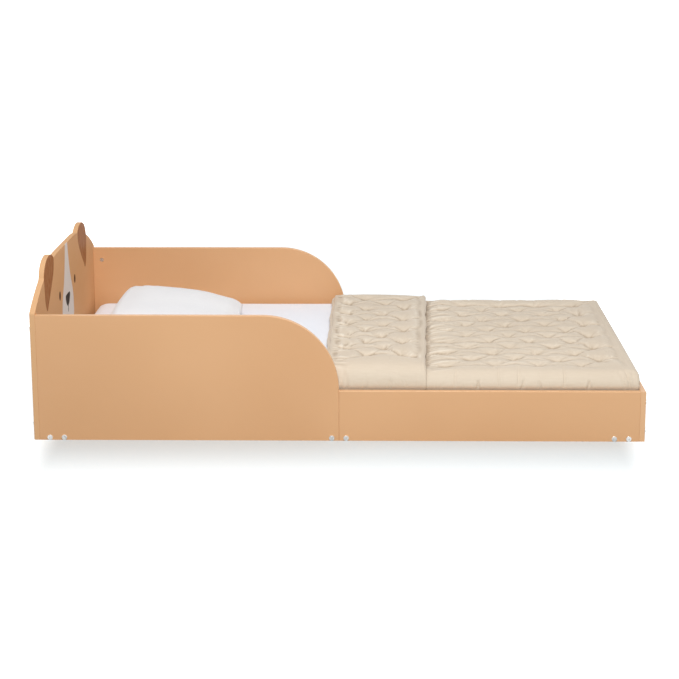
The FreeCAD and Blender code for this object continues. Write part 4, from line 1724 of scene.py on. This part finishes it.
    def build(self) -> bpy.types.Object:
        """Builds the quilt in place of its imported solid.

        Returns:
            The piece.
        """
        low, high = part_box("quilt")
        self.head, self.foot = low.x, high.x - self.foot_clearance
        self.side, self.hem = high.y, low.z
        self.flat_y = self.side - self.roll_width
        self.round = (self.roll_width**2 + self.roll_drop**2) / (2 * self.roll_width)
        self.centre_y = self.side - self.round
        self.centre_z = self.top - self.roll_drop
        self.sweep = math.atan2(self.roll_drop, self.flat_y - self.centre_y)
        self.shoulder_v = self.flat_y + self.round * self.sweep
        self.end_v = self.shoulder_v + self.centre_z - self.hem
        columns = self._columns()
        rows = self._rows()
        outer, height = self._outer(columns, rows)
        inner = self._inner(columns, rows)
        piece = self._shell(outer, inner, columns, rows)
        self._paint_fold_shading(piece, height, columns)
        BENCH.weld(piece, self.weld_gap)
        BENCH.soften(piece)
        # the quilt's last two colours are painted shade for its hollows and painted highlight for its crests
        cotton = Cloth(
            "beige_washed_cotton", self.effects, colour=srgb(217, 202, 182), shade=srgb(209, 193, 172),
            pitch=0.0007, creased=0.25, crease_scale=26.0, roughness=0.66, sheen=0.2,
            painted_shade=srgb(176, 157, 134), painted_highlight=srgb(236, 225, 208),
        ).make()
        finish_piece(piece, cotton, "quilt", ["quilt"])
        return piece

    def _columns(self) -> np.ndarray:
        """The quilt's outline along the bed.

        Returns:
            For each column its X, its lift over the single layer, its share of the tufting and its height
            limit, which is FAR everywhere but on the foot's hanging end.
        """
        head, end, foot = self.head, self.band_end, self.foot
        band = np.arange(head + self.edge_width, end - self.band_margin, self.step)
        base = self._round_pinches(np.arange(end + self.base_gap, foot - self.foot_margin, self.step))
        found = [(head + step, lift, 0.0, FAR) for step, lift in self.head_fold]
        found += [(x, self.band_lift, 1.0, FAR) for x in band]
        found += [(end + step, lift, 0.0, FAR) for step, lift in self.band_fold]
        found += [(x, 0.0, 1.0, FAR) for x in base]
        found += [(foot + step, lift, 0.0, FAR) for step, lift in self.foot_roll]
        hanging = self.top - self.hang_drop
        for share in np.linspace(0, 1, self.hang_steps + 1)[1:]:
            found.append((foot, -self.hang_drop, 0.0, hanging + (self.hem - hanging) * share))
        # the inner side takes every other column, so their number is odd
        return np.array(found if len(found) % 2 else found[:-2] + found[-1:])

    def _round_pinches(self, base: np.ndarray) -> np.ndarray:
        """The base's columns, closer together at the gathers on the near side.

        Args:
            base: The X of evenly spaced columns.

        Returns:
            The X of each column.
        """
        for pinch in self.pinches:
            if pinch.start < 0 and pinch.x > self.band_end:
                base = base[np.abs(base - pinch.x) > 2.6 * pinch.width]
                base = np.append(base, pinch.x + pinch.width * np.linspace(-2.4, 2.4, 7))
        base = np.unique(base.round(5))
        clear_of_roll = base < self.foot - self.foot_margin + self.roll_overlap
        return base[clear_of_roll & (np.diff(base, prepend=0) > self.closest)]

    def _rows(self) -> np.ndarray:
        """Where the rows lie, measured over the cloth from the bed's middle.

        Returns:
            The places, from the near tuck to the far one.
        """
        fine = np.arange(0, self.stitched_reach, self.step)
        tuck = np.linspace(fine[-1], self.end_v, 17)[1:]
        half = np.concatenate([fine, tuck])
        return np.concatenate([-half[:0:-1], half])

    def _section(self, v: np.ndarray) -> tuple[np.ndarray, np.ndarray, np.ndarray]:
        """The single layer's outline across the bed.

        Args:
            v: Places over the cloth.

        Returns:
            The Y, the Z and the outward normal's angle from upright, positive to the far side.
        """
        reach = np.abs(v)
        turn = np.clip((reach - self.flat_y) / self.round, 0, self.sweep)
        angle = self.sweep - turn
        y = np.where(reach <= self.flat_y, reach, self.centre_y + self.round * np.cos(angle))
        z = np.where(
            reach <= self.flat_y,
            self.top + self.crown * (1 - (reach / self.flat_y) ** 2),
            self.centre_z + self.round * np.sin(angle),
        )
        z = z - np.clip(reach - self.shoulder_v, 0, None)
        lean = np.where(reach <= self.flat_y, 0.0, math.pi / 2 - np.clip(angle, 0, math.pi / 2))
        return y * np.sign(v), z, lean * np.sign(v)

    def _relief(self, columns: np.ndarray, rows: np.ndarray) -> np.ndarray:
        """How the tufted cloth moves at each place, from a simulation of the flat panel.

        Args:
            columns: The columns.
            rows: The rows.

        Returns:
            Its move along the bed, over the cloth and outwards.
        """
        random = np.random.default_rng(11)
        tufts = []
        for part in (self.band_tufts, self.base_tufts):
            tufts += part.places(self.stitched_reach - self.tuft_margin, random)
        start, stop = self.head + self.edge_width, self.foot - self.foot_margin
        across, along = round((stop - start) / self.step), round(2 * self.stitched_reach / self.step)
        panel = BENCH.grid("panel", across, along, stop - start, 2 * self.stitched_reach)
        drawn = points_of(panel.data)
        drawn[:, 0] += (start + stop) / 2
        gap = np.full(len(drawn), FAR)
        for x, v in tufts:
            gap = np.minimum(gap, np.hypot(drawn[:, 0] - x, drawn[:, 1] - v))
        moves = self._settled(panel, drawn, gap, random)
        grid = moves.reshape((along + 1, across + 1, 3))
        us = np.linspace(start, stop, across + 1)
        vs = np.linspace(-self.stitched_reach, self.stitched_reach, along + 1)
        found = np.zeros((len(columns), len(rows), 3))
        x = columns[:, 0]
        for axis in range(3):
            wide = np.stack([np.interp(x, us, line) for line in grid[:, :, axis]], 1)
            for n in range(len(columns)):
                found[n, :, axis] = np.interp(rows, vs, wide[n], left=0, right=0)
        return found

    def _settled(
        self, panel: bpy.types.Object, drawn: np.ndarray, gap: np.ndarray, random: np.random.Generator
    ) -> np.ndarray:
        """Simulates the stitched panel, then calms it beside the quilt's edges.

        Args:
            panel: The flat panel. It is removed.
            drawn: The place of each of its points once it is stitched.
            gap: How far each point is from the nearest stitch.
            random: The seeded source of the cloth's first unevenness.

        Returns:
            How each point moves.
        """
        start, stop = self.head + self.edge_width, self.foot - self.foot_margin
        x, v = drawn[:, 0], drawn[:, 1]
        rim = (x < start + self.rim_width) | (x > stop - self.rim_width)
        rim |= np.abs(v) > self.stitched_reach - self.rim_width
        rim |= np.abs(x - self.band_end + self.rim_inset) < self.rim_inset / 2
        under_band = np.abs(x - self.band_end - self.base_gap) < 2 * self.base_gap
        held = np.where((gap < self.tuft_radius) | rim | under_band, 1.0, 0.0)
        level = self.sink - self.rim_drop
        drawn[:, 2] = np.where(rim, level, 0.0) + random.normal(0, self.rumple, len(drawn))
        drawn[:, 2] += np.where(under_band, self.under_band_rise, 0.0)
        cut = drawn.copy()
        cut[:, 0] *= 1 + self.ease[0]
        cut[:, 1] *= 1 + self.ease[1]
        move_points(panel.data, cut)
        settled = self.settling.run(panel, held, drawn)
        moves = settled - drawn
        moves[:, 2] = self.loft * np.tanh(np.maximum(settled[:, 2], 0.0) / self.loft)
        from_edge = np.minimum(np.abs(x - start), np.abs(x - stop))
        from_end = self.band_end - self.rim_inset - x
        on_band = x < self.band_end - self.rim_inset / 2
        from_edge = np.minimum(from_edge, np.where(on_band, from_end, FAR))
        floor = level * smooth_step(self.edge_reach, self.edge_flat, from_edge)
        moves[:, 2] = np.maximum(moves[:, 2], floor)
        calm = smooth_step(0.8 * self.edge_reach, 0.25 * self.edge_reach, from_edge)
        moves[:, 2] += (level - moves[:, 2]) * calm
        moves[:, :2] *= (1 - calm)[:, None]
        puff = np.percentile(settled[:, 2], 95) * 1000
        LOG.info("quilt panel: %d points, puffs to %.1f mm", len(moves), puff)
        return moves

    def _paint_fold_shading(self, piece: bpy.types.Object, height: np.ndarray, columns: np.ndarray) -> None:
        """Marks hollows and crests, for painted shade in the one and painted highlight on the other.

        Args:
            piece: The quilt.
            height: The outer side's height over its smooth form, by column and row.
            columns: The columns.
        """
        x, lift, tufted = (columns[:, [n]] for n in range(3))
        # painted shade where the cloth lies below its blurred surroundings, painted highlight where it stands
        # above them
        weight = np.broadcast_to(tufted, height.shape)
        around, total = height * weight, weight
        for _ in range(self.fold_blur):
            around, total = self._blur(around), self._blur(total)
        around = around / np.maximum(total, 0.001)
        # painted shade on the low cloth beside the band's end, standing in for the band's shade
        shaded = (np.abs(x - self.band_end) < self.shade_reach) & (lift < self.shade_lift)
        plain = np.where(shaded, 0.1, 0.5)
        found = np.where(weight > 0, np.clip(0.5 + (height - around) / self.fold_depth, 0, 1), plain)
        marks = np.full(len(piece.data.vertices), 0.5, np.float32)
        marks[: height.size] = found.ravel()
        layer = piece.data.attributes.new("fold", "FLOAT", "POINT")
        layer.data.foreach_set("value", marks)

    def _blur(self, values: np.ndarray) -> np.ndarray:
        """Each value averaged with the four round it."""
        wide = np.pad(values, 1, mode="edge")
        return (wide[:-2, 1:-1] + wide[2:, 1:-1] + wide[1:-1, :-2] + wide[1:-1, 2:] + values) / 5

    def _outer(self, columns: np.ndarray, rows: np.ndarray) -> tuple[np.ndarray, np.ndarray]:
        """The outer side.

        Args:
            columns: The columns.
            rows: The rows.

        Returns:
            A place for each column and row, and its height over the smooth form.
        """
        moves = self._relief(columns, rows)
        x, lift, share, limit = (columns[:, [n]] for n in range(4))
        v = rows[None, :]
        reach = np.abs(v)
        near, far = smooth_step(*self.near_fade, reach), smooth_step(*self.far_fade, reach)
        fade = np.where(v < 0, near, far) * share
        stacked = smooth_step(self.shoulder_v, self.flat_y - 0.010, reach)
        puffs = fade * (moves[:, :, 2] - self.sink) - share * (1 - fade) * self.edge_sink
        puffs = puffs + share * self._ripples(x, v) * smooth_step(*self.ripple_fade, reach)
        sunk = lift * (0.3 + 0.7 * smooth_step(0.345, self.flat_y, reach))
        raised = np.where(lift > 0, lift * stacked, sunk)
        outward = raised + puffs - self._pinched(x, v)
        end = self.band_end
        skew = smooth_step(0.060, end - 0.02, x) * smooth_step(0.290, end + 0.012, x)
        skew = skew * (self.band_shift + self.band_slant * np.clip(v, -0.31, 0.31))
        wander = self.wander[0] * np.sin(v * 31 + 0.6) + self.wander[1] * np.sin(v * 83)
        ends = smooth_step(self.head + 0.05, self.head + 0.01, x)
        ends = ends + smooth_step(0.17, 0.20, x) * smooth_step(0.24, 0.21, x)
        at_x = x + fade * moves[:, :, 0] + skew + wander * ends * stacked
        ys, zs, leans = self._section(v + fade * moves[:, :, 1])
        outward = outward - self.tuck_gap * smooth_step(*self.tuck_heights, zs)
        y = ys + np.sin(leans) * outward
        z = zs + np.cos(leans) * outward
        z = np.minimum(z, limit)
        y = np.clip(y, -self.side, self.side)
        return np.stack([np.broadcast_to(at_x, y.shape), y, np.maximum(z, self.hem)], -1), puffs

    def _ripples(self, x: np.ndarray, v: np.ndarray) -> np.ndarray:
        """Slow waves of the whole quilt and short wrinkles beside its sewn edge.

        Args:
            x: Places along the bed.
            v: Places over the cloth.

        Returns:
            The lift.
        """
        along, over = self.slow_rise
        slow = along * np.sin(x * 21 + 1.1 + 2.0 * np.sin(v * 9)) + over * np.sin(v * 27 + x * 8)
        near_edge = smooth_step(self.head + 0.011, self.head + 0.022, x) * smooth_step(0.030, 0.006, x)
        short = self.wrinkle_rise * near_edge * np.sin(v * 250 + 3.0 * np.sin(v * 61) + x * 60)
        by_fold = smooth_step(0.300, 0.232, x) * smooth_step(0.213, 0.222, x)
        broad, fine = self.ridge_rise
        ridges = broad * np.sin(v * 140 + 2.0 * np.sin(v * 31) - x * 40) + fine * np.sin(v * 390 - x * 90)
        return slow + short + by_fold * ridges

    def _pinched(self, x: np.ndarray, v: np.ndarray) -> np.ndarray:
        """How deep the gathers along the tucked sides are.

        Args:
            x: Places along the bed.
            v: Places over the cloth.

        Returns:
            The depth.
        """
        depth = np.zeros(np.broadcast(x, v).shape)
        for pinch in self.pinches:
            along = np.clip((v - pinch.start) / (pinch.end - pinch.start), 0, 1)
            inside = smooth_step(0.0, 0.12, along) * smooth_step(1.0, 0.55, along)
            centre = pinch.x + pinch.slant * (v - pinch.start)
            across = (x - centre) / pinch.width
            valley = np.exp(-(across**2)) - 0.3 * np.exp(-((np.abs(across) - 2.2) ** 2))
            depth += pinch.depth * inside * valley
        return depth

    def _inner(self, columns: np.ndarray, rows: np.ndarray) -> np.ndarray:
        """The inner side, which lies on the sheet and is twice as coarse.

        Args:
            columns: The columns.
            rows: The rows.

        Returns:
            A place for every other column and row.
        """
        count = len(columns)
        hanging = int((columns[:, 3] < FAR).sum())
        roll = len(self.foot_roll)
        flat_end = self.sheet_end - self.sheet_round
        x = np.linspace(self.head + self.inner_margin, flat_end, count - hanging - roll)
        turn = np.linspace(0, math.pi / 2, roll + 1)[1:]
        x = np.concatenate([x, flat_end + self.sheet_round * np.sin(turn), np.full(hanging, self.sheet_end)])
        low = self.under - self.sheet_round
        top = np.full(count, self.under)
        top[count - hanging - roll : count - hanging] = low + self.sheet_round * np.cos(turn)
        top[count - hanging :] = low + (self.hem - low) * np.linspace(0, 1, hanging + 1)[1:]
        reach = np.abs(rows)
        flat_y = self.sheet_side - self.sheet_round
        angle = np.clip((reach - self.flat_y) / (self.shoulder_v - self.flat_y), 0, 1) * math.pi / 2
        rounded = flat_y + self.sheet_round * np.sin(angle)
        y = np.where(reach <= self.flat_y, reach * flat_y / self.flat_y, rounded)
        z = np.where(reach <= self.flat_y, self.under, low + self.sheet_round * np.cos(angle))
        z = z - np.clip(reach - self.shoulder_v, 0, None) * (low - self.hem) / (self.centre_z - self.hem)
        zs = np.minimum(z[None, :], top[:, None])
        ys = np.broadcast_to(y * np.sign(rows), zs.shape)
        xs = np.broadcast_to(x[:, None], zs.shape)
        return np.stack([xs, ys, zs], -1)[::2, ::2]

    def _shell(
        self, outer: np.ndarray, inner: np.ndarray, columns: np.ndarray, rows: np.ndarray
    ) -> bpy.types.Object:
        """Sews the two sides together round the quilt's edge.

        Args:
            outer: The outer side.
            inner: The inner side, with every other column and row.
            columns: The columns.
            rows: The rows.

        Returns:
            The piece, closed.
        """
        number = np.arange(outer.shape[0] * outer.shape[1]).reshape(outer.shape[:2])
        back = number.size + np.arange(inner.shape[0] * inner.shape[1]).reshape(inner.shape[:2])
        faces = [*self._quads(number), *self._quads(back[:, ::-1])]
        rims = (
            (number[:, 0], back[:, 0]),
            (number[-1], back[-1]),
            (number[::-1, -1], back[::-1, -1]),
            (number[0, ::-1], back[0, ::-1]),
        )
        for fine, coarse in rims:
            for k in range(len(coarse) - 1):
                first, middle, last = (int(n) for n in fine[2 * k : 2 * k + 3])
                low, high = int(coarse[k]), int(coarse[k + 1])
                faces += [(first, low, middle), (middle, low, high), (middle, high, last)]
        piece = mesh_piece("quilt_cover", np.concatenate([outer.reshape(-1, 3), inner.reshape(-1, 3)]), faces)
        steps = np.hypot(np.diff(columns[:, 0]), np.diff(columns[:, 1]))
        length = np.concatenate([[0], np.cumsum(steps)])
        flat = np.stack(np.meshgrid(length, rows, indexing="ij"), -1)
        lay_uv(piece.data, np.concatenate([flat.reshape(-1, 2), flat[::2, ::2].reshape(-1, 2)]))
        return piece

    def _quads(self, number: np.ndarray) -> list[tuple[int, int, int, int]]:
        """The faces of a grid of vertices.

        Args:
            number: The vertices' numbers, by column and row.

        Returns:
            The faces, anticlockwise from above where columns run along X and rows along Y.
        """
        corners = np.stack([number[:-1, :-1], number[1:, :-1], number[1:, 1:], number[:-1, 1:]], -1)
        return [tuple(face) for face in corners.reshape(-1, 4).tolist()]


# ------------------------------------------------------------------ the studio


@dataclass
class Studio:
    """A white floor, soft daylight from above and the camera at the photograph's place."""

    place: Point = (0.08249, -3.68773, 1.13946)
    pitch: float = 0.20132
    swing: float = 0.01
    lens: float = 82.854
    shift: tuple[float, float] = (-0.03179, -0.15)
    floor_reach: float = 30.0
    floor_colour: Colour = srgb(188, 194, 196)
    # how far past the bed the shadow painted by the floor's glow reaches: at its sides, inside its ends and
    # beyond them
    side_reach: float = 0.34
    end_reach: tuple[float, float] = (-0.07, 0.02)
    far_reach: float = 3.0
    # the floor's glow beside the bed, at the painted shadow's edge, past the ends, where it paints light over
    # the real shadow, and far off
    painted_glows: tuple[float, float, float, float] = (0.18, 0.62, 0.65, 0.5)
    sky: float = 0.41

    def build(self) -> None:
        """Builds the floor, the world, the lamps and the camera."""
        self._floor()
        self._world()
        self._lamp("overhead", (0.1, 0.2, 2.6), (0.0, 0.05, 0.1), (2.4, 1.8), 14.0)
        self._lamp("key", (0.2, -2.38, 2.25), (-0.05, 0.0, 0.1), (0.9, 0.7), 61.0)
        self._camera()

    def _white_when_seen(self, graph: Graph) -> bpy.types.NodeSocket:
        """1 for rays from the camera, a mirror or glass.

        Args:
            graph: The graph to add it to.

        Returns:
            The mask.
        """
        path = graph.add("LightPath")
        seen = graph.math("MAXIMUM", path.outputs["Is Camera Ray"], path.outputs["Is Glossy Ray"])
        return graph.math("MAXIMUM", seen, path.outputs["Is Transmission Ray"])

    def _floor(self) -> None:
        """A pale floor that shows white, with a painted shadow in its glow along the bed's sides and painted
        light over the bed's real shadow past its ends.
        """
        BENCH.clear()
        bpy.ops.mesh.primitive_plane_add(size=2 * self.floor_reach)
        floor = bpy.context.object
        floor.name = "floor"
        material = bpy.data.materials.new("pale_floor")
        material.use_nodes = True
        graph = Graph(material.node_tree)
        shader = material.node_tree.nodes["Principled BSDF"]
        past_end, past_side = self._from_bed(graph)
        beside, edge, ends, far_off = self.painted_glows
        # painted shadow: the glow is low beside the bed and rises away from it; past the ends it paints light
        # over the real shadow
        side = graph.ramp(past_side, 0.0, self.side_reach, beside, edge)
        far = graph.ramp(past_side, self.side_reach, self.far_reach, 0.0, far_off)
        end = graph.ramp(past_end, *self.end_reach, 0.0, ends)
        glow = graph.math("ADD", side, graph.math("ADD", far, end))
        shader.inputs["Base Color"].default_value = self.floor_colour
        shader.inputs["Roughness"].default_value = 0.9
        shader.inputs["Specular IOR Level"].default_value = 0.1
        shader.inputs["Emission Color"].default_value = (1.0, 1.0, 1.0, 1.0)
        seen = self._white_when_seen(graph)
        graph.put(shader.inputs["Emission Strength"], graph.math("MULTIPLY", seen, glow))
        floor.data.materials.append(material)

    def _from_bed(self, graph: Graph) -> tuple[bpy.types.NodeSocket, bpy.types.NodeSocket]:
        """How far a point of the floor is past the bed's ends and past its sides.

        Args:
            graph: The floor's graph.

        Returns:
            The two distances.
        """
        split = graph.add("SeparateXYZ")
        graph.put(split.inputs[0], graph.add("TexCoord").outputs["Object"])
        (low_x, low_y, _), (high_x, high_y, _) = CAD_BOX
        past = [
            graph.math("SUBTRACT", graph.math("ABSOLUTE", split.outputs[axis]), half)
            for axis, half in (("X", (high_x - low_x) / 2), ("Y", (high_y - low_y) / 2))
        ]
        return past[0], past[1]

    def _world(self) -> None:
        """Even light from all round, white where it is seen."""
        world = bpy.data.worlds.new("studio")
        bpy.context.scene.world = world
        world.use_nodes = True
        graph = Graph(world.node_tree)
        background = world.node_tree.nodes["Background"]
        background.inputs["Color"].default_value = (1.0, 1.0, 1.0, 1.0)
        seen = self._white_when_seen(graph)
        graph.put(background.inputs["Strength"], graph.math("MULTIPLY_ADD", seen, 1.0 - self.sky, self.sky))

    def _lamp(self, name: str, place: Point, target: Point, size: tuple[float, float], power: float) -> None:
        """A soft box.

        Args:
            name: Its name.
            place: Where it hangs.
            target: Where it points.
            size: Its width and its depth.
            power: Its power in watts.
        """
        data = bpy.data.lights.new(name, "AREA")
        data.shape = "RECTANGLE"
        data.size, data.size_y = size
        data.energy = power
        lamp = bpy.data.objects.new(name, data)
        bpy.context.scene.collection.objects.link(lamp)
        lamp.location = place
        lamp.rotation_euler = (Vector(target) - Vector(place)).to_track_quat("-Z", "Y").to_euler()

    def _camera(self) -> None:
        """The camera at the photograph's viewing angle."""
        data = bpy.data.cameras.new("camera")
        data.sensor_width, data.lens = 36.0, self.lens
        data.shift_x, data.shift_y = self.shift
        data.clip_start, data.clip_end = 0.05, 200.0
        camera = bpy.data.objects.new("camera", data)
        bpy.context.scene.collection.objects.link(camera)
        camera.location = self.place
        camera.rotation_euler = Euler((math.pi / 2 - self.pitch, 0.0, self.swing))
        bpy.context.scene.camera = camera


def main() -> None:
    """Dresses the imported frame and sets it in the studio."""
    logging.basicConfig(level=logging.INFO, format="%(name)s: %(message)s")
    bpy.context.scene.view_settings.view_transform = "Standard"
    effects = Effects()
    BoardWork(effects).dress()
    Hardware(effects).dress()
    Mattress(effects).build()
    FittedSheet(effects).build()
    Pillow(effects).build()
    Quilt(effects).build()
    Studio().build()


if __name__ == "__main__":
    main()
